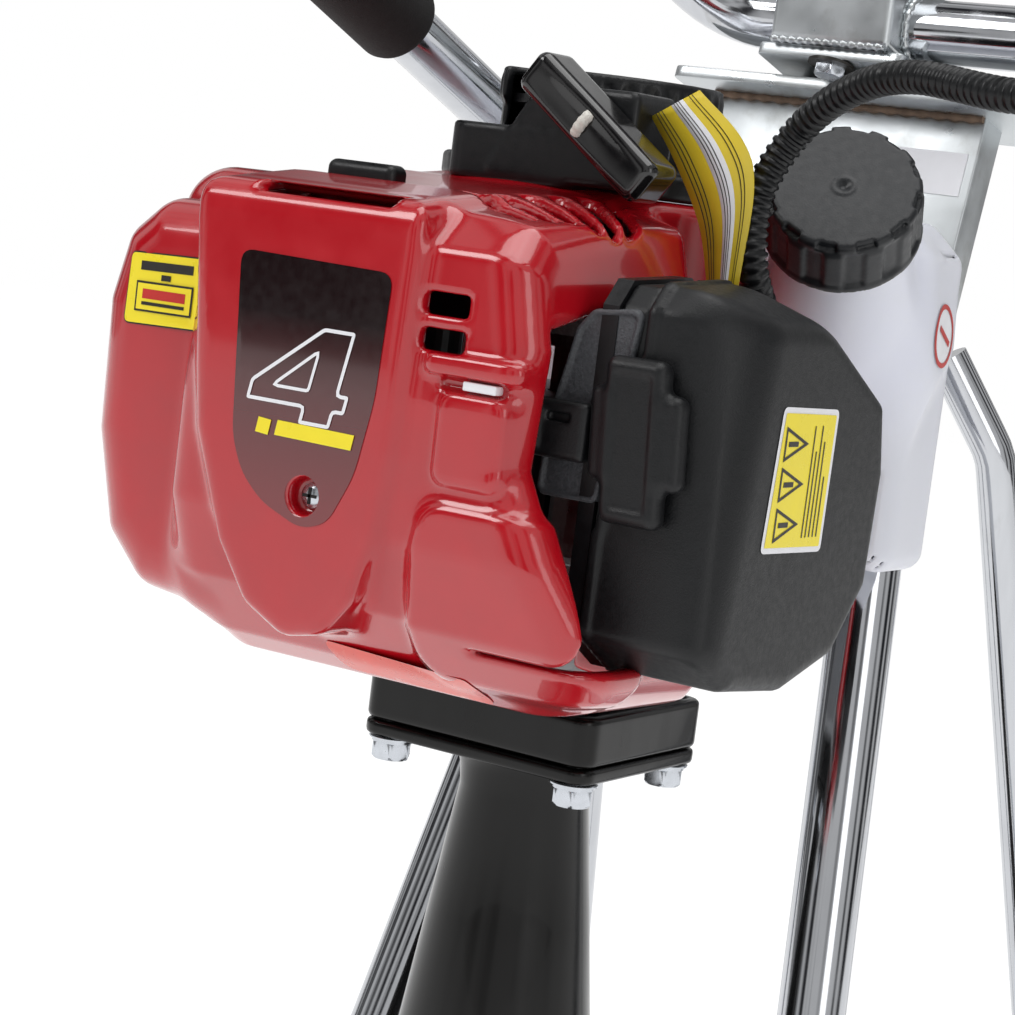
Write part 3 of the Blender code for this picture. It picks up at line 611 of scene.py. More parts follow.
INK = finish_nodes("label_ink", (30, 26, 20), 0.4, vary=0.2, grain=300)
PAPER = finish_nodes("label_white", (232, 232, 236), 0.4, vary=0.03, grain=120)
RED_INK = finish_nodes("label_red", (190, 40, 34), 0.35, vary=0.08, grain=200)
SWITCH = finish_nodes("switch_red", (170, 20, 22), 0.35, vary=0.05, grain=200)
PANEL = finish_nodes("panel_print", (40, 6, 8), 0.12, coat=1.0, rough_vary=0.03)
fade(PANEL, 92, 150, (110, 6, 16), (22, 5, 6))
WORN = finish_nodes("worn_label", (214, 60, 40), 0.3, coat=0.4, vary=0.1, grain=90, dirt=(228, 196, 184),
                    dirt_scale=70, dirt_share=0.42)
# A near-black finish used as painted shade, laid over the screw head's cross recess.
PAINTED_SHADE = finish_nodes("painted_recess_shade", (10, 9, 9), 0.6, vary=0.2, grain=200)
milky = TANK.node_tree.nodes["Principled BSDF"].inputs
milky["Subsurface Weight"].default_value = 0.35
milky["Subsurface Radius"].default_value = (0.012, 0.012, 0.014)
milky["Subsurface Scale"].default_value = 1.0


def repaint(material, *names):
    """Gives CAD nodes that keep their own shape a finished material."""
    for name in names:
        data = NODES[name].data
        data.materials.clear()
        data.materials.append(material)


# ---- the engine's red cover ----
# Outlines of its main body, its left lobe and the raised middle of its front: (x, z) as seen from the
# front, and (y, z) as seen from the side.
MAIN_FRONT = [(-62, 36), (-64, 70), (-63, 120), (-61, 150), (-57, 178), (-52, 230), (0, 230), (22, 207),
              (62, 190), (67, 172), (72, 150), (70, 114), (82, 90), (94, 67), (94, 52), (84, 38), (62, 20),
              (-60, 20)]
MAIN_SIDE = [(-40, 32), (-106, 35), (-118, 42), (-137, 62), (-146, 86), (-147, 130), (-146, 176),
             (-133, 188), (-96, 194), (-60, 198), (-40, 198)]
LOBE = [(-50, 181), (-92, 180), (-106, 168), (-112, 145), (-111, 100), (-102, 66), (-86, 50), (-50, 46)]
POD = [(-59, 230), (-57, 175), (-48, 110), (-35, 76), (-22, 58), (-6, 50), (9, 53), (19, 66), (25, 86),
       (28, 112), (30, 175), (31, 230)]
WALL = 3.6
SCREW = (-2.5, 95)  # the cover screw's x and z


def cover_volume(p):
    """The cover's outside, before any opening."""
    front = plate(p, MAIN_FRONT, 1, -200, 60, 7, 1)
    side = plate(p, MAIN_SIDE, 0, -200, 200, 6, 1)
    main = meet(meet(front, side, 14), p[:, 1] + 38, 8)
    lobe = plate(p, LOBE, 1, -131, -6, 12, 16)
    tier = rounded_box(p, (-110, -101, 60), (-30, -6, 192), 17)
    back = drum(p, (0, 0, 0), (0, 0, 1), 59, 27, 198, 5)
    body = join(join(main, join(lobe, tier, 7), 9), back, 8)
    pod_top = (p[:, 2] - 0.12 * (p[:, 1] + 129) - 191.5) / 1.01
    pod = meet(plate(p, POD, 1, -150.5, -103, 10, 4), pod_top, 9)
    return join(body, pod, 5)


def cover_details(p, body):
    """The moulded relief on the cover's outside."""
    step = rounded_box(p, (36, -153, 139.5), (70, -138, 145.5), 2.4)
    body = join(body, meet(step, body - 3.0, 1.5), 3)
    block = rounded_box(p, (43, -160, 107), (66, -138, 134), 4)
    body = join(body, meet(block, body - 2.4, 2), 4)
    notch = rounded_box(p, (41, -160, 135), (64, -144.5, 138.6), 1.2)
    body = cut(body, notch, 1.5)
    shelf = plate(p, [(32, 44), (41, 99), (100, 99), (100, 44)], 1, -160, -100, 8, 4)
    return join(body, meet(shelf, body - 2.0, 2), 6)


def screw_pocket(p, radius, depth):
    return drum(p, (SCREW[0], -150, SCREW[1]), (0, 1, 0), radius, -10, depth, 1.0)


def cover_openings(p, shell):
    """The side opening, the front slots, six louvres, the top slot, the screw's pocket and the open base."""
    flat = polygon(p[:, 1], p[:, 2], [(-134, 56), (-134, 156), (-100, 163), (-34, 168), (-34, 56)])
    shell = cut(shell, np.maximum(flat, 56 - p[:, 0]), 3)
    for low, high in ((156.5, 163.5), (145.8, 152.5)):
        shell = cut(shell, rounded_box(p, (31.5, -170, low), (47.5, -120, high), 1.6), 1.2)
    for i in range(6):
        t = i / 5
        start = (18 + 20 * t, -108 + 54 * t, 194.0 + 1.4 * t)
        end = (48 + 17 * t, -122 + 38 * t, 186.6 + 0.8 * t)
        shell = cut(shell, bar(p, start, end, 3.0), 1.5)
    shell = cut(shell, rounded_box(p, (-36, -160, 186.4), (17, -134, 189.2), 1.3), 1)
    shell = cut(shell, screw_pocket(p, 6.0, 5.6), 1.2)
    shell = cut(shell, drum(p, (0, 0, 150), (0, 0, 1), 51, -6, 120, 2), 1)
    shell = cut(shell, rounded_box(p, (-70, -96, -20), (62, 56, 40), 10), 2)
    return cut(shell, rounded_box(p, (-44, 30, -20), (44, 90, 150), 6), 2)


def cover_outside(p):
    return cover_details(p, cover_volume(p))


def cover_field(p):
    """The cover as a shell, with a wall left round the screw's pocket."""
    volume = cover_volume(p)
    hollow = cut(volume + WALL, screw_pocket(p, 9.0, 8.4), 1)
    return cover_openings(p, cut(cover_details(p, volume), hollow, 1.5))


def engine_cover():
    fine = ((), ((-156, -128, 1.15),), ((134, 206, 1.3),))
    obj = skin("red_cover", cover_field, (-130, -154, 20), (104, 66, 204), 1.75, RED, fine)
    dress(obj, "frame", "red_shell", "engine_shroud")
    panel = [(-36.5, 168), (22, 167), (20.5, 128), (16, 104), (8, 88), (-2, 85), (-18, 91), (-27, 99)]
    panel.append((-32, 110))
    hole = circle(*SCREW, 6.6, 24)
    print_on = printer(cover_outside, lambda a, b: (a, -175.0, b), (0, 1, 0), 2.2, "frame", "red_shell")
    print_on("front_panel", round_corners(panel, 5), PANEL, 0.25, [hole])
    four(print_on)
    caution_label(print_on)
    for i, (a, b) in enumerate(((-23, -18), (-15.5, 14))):
        bars = [(a + 0.8, 117.0), (b + 0.8, 116.6), (b, 111.8), (a, 112.2)]
        print_on(f"panel_bar_{i + 1}", bars, YELLOW, 0.55)
    worn = round_corners([(-8, 47), (50, 45), (51, 36), (-6, 37)], 3)
    print_on("worn_label", worn, WORN, 0.3)


def four(print_on):
    """A plain outlined numeral, drawn as white bands."""
    outer = [(-4, 147.5), (8, 147.5), (8, 128), (12, 128), (12, 122), (8, 122), (8, 117), (-4, 117)]
    outer += [(-4, 122), (-26, 122), (-26, 128.5)]
    inner = [(-4, 139), (-4, 128), (-16, 128)]
    rim = round_corners([(x + (z - 132) * 0.2, z) for x, z in outer], 1.0, 2)
    eye = round_corners([(x + (z - 132) * 0.2, z) for x, z in inner], 0.6, 2)
    print_on("numeral_rim", rim, PAPER, 0.55, [inset(rim, 1.15)])
    print_on("numeral_eye", inset(eye, -1.0), PAPER, 0.55, [eye])


def caution_label(print_on):
    """A yellow label with a plain box and bars in place of its printed words."""
    edge = round_corners([(-97.5, 161), (-65, 162), (-65, 138), (-97.5, 137)], 2.5)
    print_on("side_label_edge", edge, INK, 0.3)
    print_on("side_label", inset(edge, 0.5), YELLOW, 0.5)
    bars = {
        "side_label_bar_1": ([(-92, 158.2), (-70, 158.8), (-70, 155.8), (-92, 155.2)], INK),
        "side_label_bar_2": ([(-83, 154.4), (-79, 154.5), (-79, 152.6), (-83, 152.5)], INK),
        "side_label_box": ([(-93, 151.6), (-69, 152), (-69, 142), (-93, 141.6)], INK),
        "side_label_field": ([(-92.3, 150.9), (-69.7, 151.3), (-69.7, 142.7), (-92.3, 142.3)], YELLOW),
        "side_label_red": ([(-90, 149.2), (-72, 149.4), (-72, 146.2), (-90, 146)], RED_INK),
        "side_label_line": ([(-90, 145), (-72, 145.2), (-72, 144.1), (-90, 143.9)], INK),
    }
    for i, (name, (shape, mat)) in enumerate(bars.items()):
        print_on(name, shape, mat, 0.65 + 0.1 * i)


def cover_fittings():
    """The screw in its pocket with painted shade for its cross recess, the pad on top and the pale clip tab.
    """
    head = [(0, -3.2), (2.4, -3.1), (3.9, -2.2), (4.3, -0.9), (4.3, 0), (2.4, 0), (2.4, 7), (0, 7)]
    x, z = SCREW
    screw = turned("cover_screw", head, (x, -143.5, z), (0, 1, 0), BOLT, 40)
    # Near-black sheets on the screw's solid head: painted shade for its cross recess, which is not cut.
    for i, (w, h) in enumerate(((2.6, 0.5), (0.5, 2.6))):
        outline = [(x - w, z - h), (x + w, z - h), (x + w, z + h), (x - w, z + h)]
        dress(slab(f"screw_cross_shade_{i + 1}", outline, 1, -146.95, -146.0, PAINTED_SHADE, 0), "frame", "zinc_plate")
    dress(screw, "frame", "zinc_plate", "shroud_screw")
    block = lambda p: rounded_box(p, (-42, -105, 190), (-15, -95, 199.2), 3.0)
    pad = skin("top_pad", block, (-43, -106, 189), (-13, -92, 200.5), 0.9, CASE_BLACK)
    dress(pad, "frame", "black_plastic", "shroud_clip")
    tab = slab("clip_tab", [(50, 135.6), (62, 135.6), (62, 138.4), (50, 138.4)], 1, -148.6, -143, PAPER, 0.5)
    dress(tab, "frame", "black_plastic")


# ---- recoil starter ----
def case_field(p):
    """The recoil case: a ribbed drum on a flange, with a tray and a ramp in front and vents on top."""
    angle = np.arctan2(p[:, 1], p[:, 0])
    away = np.hypot(p[:, 0], p[:, 1])
    ring = drum(p, (0, 0, 0), (0, 0, 1), 56, 198.3, 207, 2)
    neck = drum(p, (0, 0, 0), (0, 0, 1), 37.5, 200, 236, 1)
    outer = np.clip((away - 35) / 2, 0, 1)
    ribs = 0.6 * np.clip(np.cos(angle * 32) * 2, -1, 1) * outer * np.clip((236 - p[:, 2]) / 2, 0, 1)
    band = drum(p, (0, 0, 0), (0, 0, 1), 38.4, 227, 238, 1.4) - ribs
    body = join(join(ring, neck, 3), band, 1.5)
    tray = plate(p, [(-28, -60), (26, -60), (26, -18), (-28, -18)], 2, 198.3, 217, 9, 1.6)
    body = join(body, tray, 2)
    ramp = plate(p, [(-12, 200), (4, 227), (9, 232), (46, 232), (46, 200)], 1, -60.3, -34, 3, 2)
    body = join(body, ramp, 1.5)
    hollow = plate(p, [(-25.5, -57), (-9, -57), (-9, -20), (-25.5, -20)], 2, 204, 240, 7, 1)
    body = cut(body, hollow, 1.2)
    body = cut(body, drum(p, (0, 0, 0), (0, 0, 1), 35.2, 150, 235.2, 1), 1)
    body = cut(body, drum(p, (0, 0, 0), (0, 0, 1), 51.5, 150, 204.5, 1), 1)
    slots = np.abs(((angle * 8 / math.pi) % 2) - 1) * away * math.pi / 8 - 3.0
    vents = np.maximum(np.maximum(slots, np.abs(away - 21) - 8), 230 - p[:, 2])
    body = cut(body, vents, 0.8)
    body = np.minimum(body, drum(p, (0, 0, 0), (0, 0, 1), 6, 208, 237, 1))
    return cut(body, drum(p, (30, -20, 221), (0, 1, 0), 3.4, -60, 10, 0.5), 1)


HANDLE_AT = (38.5, -70.5, 219.0)


def starter():
    case = skin("recoil_case", case_field, (-59, -63, 195), (59, 59, 240), 1.35, CASE_BLACK)
    dress(case, "frame", "black_plastic", "starter_case")
    turn = Matrix.Rotation(math.radians(-36.0), 3, "Y")
    to_handle = np.array(turn)

    def handle_field(p):
        q = (p - HANDLE_AT) @ to_handle.T
        body = rounded_box(q, (-29.5, -9.3, -7.6), (29.5, 9.3, 7.6), 3.6)
        dish = np.linalg.norm((q - (0, -16, 0)) / (38, 7.6, 11), axis=1) * 7.6 - 7.6
        return cut(body, dish, 1.5)

    handle = skin("recoil_grip", handle_field, (4, -81, 190), (72, -60, 250), 0.75, GLOSS)
    dress(handle, "recoil", "black_gloss", "recoil_handle")
    loop = [Vector((-1.0, -9.3 + 1.2 * (abs(t) / 4) ** 2, t)) for t in range(-4, 5)]
    across, _ = even([turn.inverted() @ at + Vector(HANDLE_AT) for at in loop], 0.5)
    knot = sweep("rope_loop", across, [1.9 + 0.12 * math.sin(i * 1.6) for i in range(len(across))], ROPE, 20)
    dress(knot, "recoil", "rope_white")
    run, at = even([(30, -2, 221), (30, -60.9, 221)], 0.5)
    rope = sweep("pull_rope", run, [1.45 + 0.12 * math.sin(2.2 * s) for s in at], ROPE, 16)
    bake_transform(rope)
    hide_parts("starter_rope")


# ---- tank and cap ----
CAP_AXIS = np.array((0.297, -0.737, 0.607)) / np.linalg.norm((0.297, -0.737, 0.607))
CAP_AT = (88.4, 11.5, 202.9)
TANK_FRONT = [(-70, 76), (-70, 202), (84, 202), (97, 190), (97, 76)]


def tank_field(p):
    """The tank with its leaning neck, hollow and open at the neck's end."""
    body = plate(p, TANK_FRONT, 1, 60, 108, 7, 14)
    rise, away = along(p, CAP_AT, CAP_AXIS)
    neck = np.maximum(away - (20.0 - np.clip(rise, -78, 0) * 0.16), np.maximum(rise - 5, -rise - 78))
    outside = join(body, neck, 18)
    ring = drum(p, CAP_AT, CAP_AXIS, 23.5, -15.5, -12.5, 1)
    outside = join(outside, ring, 2)
    inner = np.maximum(away - 16.5, -rise - 70)
    hollow = join(body + 2.5, inner, 6)
    return cut(outside, hollow, 1)


def cap_field(p):
    """The fuel cap: a wavy grip, a toothed crown and a dimple in its middle."""
    rise, away = along(p, CAP_AT, CAP_AXIS)
    side = np.cross(CAP_AXIS, (1.0, 0.0, 0.0))
    side /= np.linalg.norm(side)
    other = np.cross(CAP_AXIS, side)
    offset = p - np.array(CAP_AT)
    angle = np.arctan2(offset @ other, offset @ side)
    wave = np.clip(np.cos(angle * 12) * 3.0, -1, 1) * 0.55 * np.clip((10 - rise) / 2, 0, 1)
    body = drum(p, CAP_AT, CAP_AXIS, 26.2, -11, 13, 1.8) + wave
    rim = drum(p, CAP_AT, CAP_AXIS, 26.9, -11, -7.6, 1)
    body = join(body, rim, 1)
    teeth = np.maximum(np.maximum(away - 30, 24.3 - away), 10.4 - rise)
    body = cut(body, np.maximum(teeth, np.cos(angle * 12 + 1.2) * 2.6), 0.8)
    dimple = np.linalg.norm(offset - CAP_AXIS * 14.2, axis=1) - 2.2
    body = cut(body, dimple, 0.6)
    body = join(body, np.maximum(np.abs(away - 3.4) - 0.5, np.abs(rise - 13) - 0.25), 0.6)
    return cut(body, np.maximum(away - 20.8, rise - 8), 0.8)


def tank_and_cap():
    tank = skin("white_tank", tank_field, (-72, 0, 74), (114, 112, 214), 1.9, TANK)
    dress(tank, "frame", "tank_white", "fuel_tank")
    at = np.array(CAP_AT)
    cap = skin("tank_cap", cap_field, at - 31, at + 31, 0.85, CAP_BLACK)
    dress(cap, "cap", "black_plastic", "fuel_cap")
    on_tank = printer(tank_field, lambda a, b: (130.0, a, b), (-1, 0, 0), 2.0, "frame", "tank_white")
    on_tank("round_label", circle(82, 163, 11.5, 40), PAPER, 0.2)
    on_tank("round_label_ring", circle(82, 163, 11.4, 40), RED_INK, 0.4, [circle(82, 163, 9.6, 40)])
    on_tank("round_label_bar", stroke([(76, 166), (88, 160)], 2.2), RED_INK, 0.45)


# ---- air cleaner ----
CLEANER = [(-120, 66), (-120, 166), (-113, 174), (-78, 176), (-15, 143), (-9, 120), (-11, 82), (-30, 60),
           (-62, 51), (-100, 54)]


def parting(p):
    """How far the cover's edge stands off the base at each height."""
    return 84 + np.clip((p[:, 2] - 95) * 0.17, 0, 10)


def cleaner_outside(p):
    """The outside of the cover, with its sloping top and its cut-off front corner."""
    body = plate(p, CLEANER, 0, 78, 127, 5, 6)
    top = (0.52 * (p[:, 0] - 127) + p[:, 2] - 166) / 1.13
    nose = (p[:, 0] - p[:, 1] - 229 - (171 - p[:, 2]) * 0.15) / 1.42
    return meet(meet(body, top, 5), nose, 8)


def cleaner_field(p):
    """The cover as a shell, open towards the base and with a lip round its edge."""
    outside = cleaner_outside(p)
    lip = np.maximum(outside - 0.9, np.abs(p[:, 0] - parting(p) - 1.6) - 1.6)
    body = np.maximum(join(outside, lip, 1.5), (parting(p) - p[:, 0]))
    return cut(body, np.maximum(outside + 3.2, p[:, 0] - 124), 1)


def rim_field(p):
    """The base's raised edge, which the cover closes on."""
    body = plate(p, inset(CLEANER, 1.2), 0, 83.8, 99, 4, 0.8)
    body = np.maximum(np.maximum(body, p[:, 0] - parting(p) + 0.3), cleaner_outside(p) + 1.0)
    inside = plate(p, inset(CLEANER, 4.6), 0, 60, 120, 3, 0.8)
    return cut(body, inside, 0.6)


def latch_field(p):
    """A cross-shaped latch that leans with the cover's edge."""
    lean = p[:, 0] + (p[:, 2] - 127) * 0.07
    q = np.stack([lean, p[:, 1], p[:, 2]], 1)
    post = rounded_box(q, (87.5, -129.3, 102), (108.5, -120.9, 152), 3.6)
    wing = rounded_box(q, (82.5, -128.4, 114), (114.5, -120.9, 142.5), 3.2)
    body = join(post, wing, 3)
    panel = rounded_box(q, (91, -132, 106), (105, -128.6, 148), 2.2)
    return cut(body, panel, 1.2)


def catch_field(p):
    arm = rounded_box(p, (60, -127.5, 118), (81.6, -121.5, 136), 2.0)
    arm = join(arm, rounded_box(p, (60, -129, 120), (66, -117, 134), 2), 2)
    slot = rounded_box(p, (67.5, -140, 129.5), (75.5, -125.4, 132.2), 0.8)
    return cut(arm, slot, 0.8)


INTAKE = [(62.5, 106), (63.8, 130), (70, 158), (75, 164), (92.6, 166), (89, 140), (84.2, 106)]


def intake_field(p):
    """The grained plate between cover and air cleaner, with a raised rim."""
    sheet = plate(p, INTAKE, 1, -119.6, -114, 3, 1.2)
    inside = plate(p, inset(INTAKE, 1.6), 1, -130, -100, 2, 0.3)
    return join(sheet, cut(plate(p, INTAKE, 1, -120.6, -114, 3, 0.7), inside, 0.4), 0.8)


def air_cleaner():
    cover = skin("cleaner_shell", cleaner_field, (82, -122, 50), (129, -7, 178), 1.3, SATIN)
    dress(cover, "cleaner_cover", "black_plastic", "air_cleaner_cover")
    latch = skin("cleaner_latch", latch_field, (79, -132, 98), (116, -119, 154), 0.8, SATIN)
    dress(latch, "latch", "black_plastic", "air_cleaner_latch")
    grained = finish_nodes("intake_grain", (70, 72, 76), 0.5, vary=0.25, grain=900, bump=0.8, bump_scale=1500)
    for piece in (
        skin("cleaner_catch", catch_field, (58, -131, 116), (80, -117, 138), 0.8, SATIN),
        skin("intake_plate", intake_field, (61, -122, 104), (95, -112, 168), 0.8, grained),
        skin("base_rim", rim_field, (83, -121, 50), (96, -8, 178), 1.2, SATIN),
    ):
        dress(piece, "frame", "black_plastic")
    slot = ("cleaner_cover", "black_plastic")
    on_cover = printer(cleaner_outside, lambda a, b: (160.0, a, b), (-1, 0, 0), 3.0, *slot)
    sheet = round_corners([(-92.5, 97), (-89, 142), (-51, 141), (-51.5, 96)], 2.5)
    on_cover("cover_label_edge", sheet, PAPER, 0.2)
    on_cover("cover_label", inset(sheet, 1.8), YELLOW, 0.35)
    for i in range(3):
        z = 100 + 12.5 * i
        triangle = [(-86, z), (-70, z + 5.5), (-86, z + 11)]
        on_cover(f"cover_label_mark_{i + 1}", triangle, INK, 0.5, [inset(triangle, 1.0)])
        on_cover(f"cover_label_dot_{i + 1}", stroke([(-83.5, z + 5.5), (-77, z + 5.5)], 1.6), INK, 0.5)
    for i, high in enumerate((136, 128, 136, 131, 120)):
        at = -66.5 + 2.5 * i
        on_cover(f"cover_label_row_{i + 1}", stroke([(at, 101), (at, high)], 0.7), INK, 0.5)


# ---- clutch housing, column and bolts ----
FLANGE = [(-47, -40.5), (47, -40.5), (47, 40.5), (-47, 40.5)]
BOLT_X, BOLT_Y = 38.0, 31.5


def bolt_holes(p, body):
    for sx in (-1, 1):
        for sy in (-1, 1):
            body = cut(body, drum(p, (BOLT_X * sx, BOLT_Y * sy, 0), (0, 0, 1), 4.4, -20, 60, 0.4), 0.6)
    return body


def housing_field(p):
    body = plate(p, FLANGE, 2, 5.8, 23.5, 7, 2.2)
    return bolt_holes(p, cut(body, drum(p, (0, 0, 0), (0, 0, 1), 36, -20, 60, 1), 1))


def top_field(p):
    body = plate(p, FLANGE, 2, 0.0, 5.5, 7, 1.6)
    return bolt_holes(p, cut(body, drum(p, (0, 0, 0), (0, 0, 1), 19.4, -20, 60, 0.5), 0.5))


def column_profile():
    """The column's outside, as the CAD has it, from the flange to the foot."""
    run = [(23.3 + (-15 - z) * 0.13065, z) for z in (-15, -60, -120, -180, -230, -300, -332)]
    outside = [(30.0, 0.4), (27.2, -1.4), (25.4, -3.8), (24.2, -7.5)] + run
    foot = [(67.5, -333.4), (79.2, -333.6), (80, -334.4), (80, -341.7)]
    return outside + foot + [(62, -341.7), (62, -333), (47.4, -230), (33, -120), (19.3, -15), (19.3, 0.4)]


def drive_column():
    body = turned("drive_column", column_profile(), (0, 0, 0), (0, 0, 1), PAINT, 128)
    dress(body, "frame", "black_paint", "column")
    dress(skin("column_top", top_field, (-48, -42, -1), (48, 42, 6), 1.1, PAINT), "frame", "black_paint")
    housing = skin("clutch_case", housing_field, (-48, -42, 5), (48, 42, 24), 1.1, PAINT)
    dress(housing, "frame", "black_paint", "clutch_housing")


def hexagon(name, at, axis, across, low, high, material):
    """A hexagon head with a rounded crown and a small step, turned from a hexagonal outline."""
    reach = across / math.cos(math.pi / 6) / 2
    profile = [(0, high), (across * 0.36, high), (across * 0.47, high - 0.35), (reach, high - 1.6)]
    profile += [(reach, low + 0.3), (reach - 0.5, low), (0, low)]

    def wave(r, h, a):
        flat = across / 2 / math.cos((a % (math.pi / 3)) - math.pi / 6)
        return min(r, flat)

    return turned(name, profile, at, axis, material, 72, wave)


def flange_bolts():
    for i, (sx, sy) in enumerate(((-1, -1), (1, -1), (1, 1), (-1, 1))):
        x, y = sx * BOLT_X, sy * BOLT_Y
        head = hexagon(f"bolt_head_{i + 1}", (x, y, -2.7), (0, 0, -1), 13.0, 0, 6.4, BOLT)
        dress(head, "frame", "zinc_plate", f"flange_bolt_{i + 1}")
        ring = [(0, -0.4), (8.0, -0.4), (8.4, -0.8), (8.4, -1.3), (7.3, -1.5), (7.3, -2.6), (0, -2.6)]
        dress(turned(f"bolt_washer_{i + 1}", ring, (x, y, 0), (0, 0, 1), BOLT, 48), "frame", "zinc_plate")
        shank = [(0, -2.6), (3.9, -2.6), (3.9, 19.5), (3.2, 20), (0, 20)]
        dress(turned(f"bolt_shank_{i + 1}", shank, (x, y, 0), (0, 0, 1), BOLT, 24), "frame", "zinc_plate")


# ---- tubes ----
TUBE_R = 12.7
LEG_LEAN = 0.2645  # how far the legs and the bracket lean back for each unit of height


def leg_at(z, side):
    """The middle of a leg at a height."""
    return (side * (74.1 - 0.1355 * z), 105.1 + LEG_LEAN * z, z)


def legs():
    for side, label in ((-1, "left"), (1, "right")):
        path, _ = even([leg_at(-330, side), leg_at(190, side)], 12)
        dress(sweep(f"tube_leg_{label}", path, TUBE_R, CHROME, 64), "frame", "chrome_tube", f"leg_{label}")


def grip(name, start, end, outer, inner, node):
    start, end = Vector(start), Vector(end)
    length = (end - start).length
    profile = [(inner, 0), (outer - 2.2, 0), (outer - 0.7, 0.8), (outer, 2.6), (outer, length - 6)]
    profile += [(outer - 0.8, length - 2.8), (outer - 3, length - 0.7), (outer - 6, length), (0, length)]
    profile += [(0, length - 5.7), (inner, length - 5.7), (inner, 0)]
    body = turned(name, profile, start, end - start, FOAM)
    dress(body, "frame", "soft_foam", node)
    return body


def handlebars():
    left = [(-26.3, 183, 277), (-62, 183, 277), (-165, 95, 400), (-232, -30, 500), (-242, -205, 545)]
    right = [(26.3, 183, 277), (105, 183, 277), (172, 95, 400), (232, -30, 500), (242, -205, 545)]
    for label, route in (("left", left), ("right", right)):
        path, _ = even(rounded(route, 50.0, 14), 5)
        tube = sweep(f"tube_bar_{label}", path, TUBE_R, CHROME, 56)
        dress(tube, "frame", "chrome_tube", f"handlebar_{label}")
        end = Vector(route[-1])
        way = (end - Vector(route[-2])).normalized()
        grip(f"foam_grip_{label}", end - way * 110, end + way * 6, 16.5, 13.0, f"grip_{label}")
    side_route = [(-63.0, 160, 186), (-88.5, 160, 186), (-88.5, -118, 293)]
    path, _ = even(rounded(side_route, 26.0, 14), 4)
    dress(sweep("tube_side_handle", path, 11.0, CHROME, 56), "frame", "chrome_tube", "assist_handle")
    end = Vector(side_route[-1])
    way = (end - Vector(side_route[1])).normalized()
    grip("foam_side_grip", end - way * 118, end + way * 6, 16.0, 11.3, "assist_grip")
    floor = -FLANGE_Z + 8.6
    half = [(66.0, 166.0, 152.0), (86.0, 180.0, 116.0), (136.0, 304.0, floor)]
    stand = half + [(-x, y, z) for x, y, z in reversed(half)]
    path, _ = even(rounded(stand, 28.0, 10), 5)
    dress(sweep("tube_stand", path, 8.0, CHROME, 40), "frame", "chrome_tube", "rear_stand")
    weld_ring("bar_weld_right", (27, 183, 277), (1, 0, 0), 12.8)
    weld_ring("bar_weld_left", (-27, 183, 277), (-1, 0, 0), 12.8)


def weld_ring(name, at, way, radius):
    """A rippled weld bead round a bar."""
    axis = Vector(way).normalized()
    side = axis.orthogonal().normalized()
    other = axis.cross(side)
    turns = np.linspace(0, math.tau, 97)
    ring = [Vector(at) + (side * math.cos(a) + other * math.sin(a)) * radius for a in turns]
    bead(name, ring, 1.5, 0.3, 1.3, ZINC, 12)


def bead(name, path, radius, ripple, rate, material, sides):
    """A weld bead along a path, rippled by rate for each of its points."""
    radii = [radius + ripple * math.sin(i * rate) for i in range(len(path))]
    dress(sweep(name, path, radii, material, sides), "frame", "zinc_plate")


# ---- bracket and handle mount ----
LEAN = math.atan(LEG_LEAN)
TOP_Y, TOP_Z = 184.0, 246.0  # the bracket's top edge


def tilted(x, back, up):
    """A point in the bracket's leaning frame, from the middle of its top edge."""
    y = TOP_Y + back * math.cos(LEAN) + up * math.sin(LEAN)
    return (x, y, TOP_Z - back * math.sin(LEAN) + up * math.cos(LEAN))


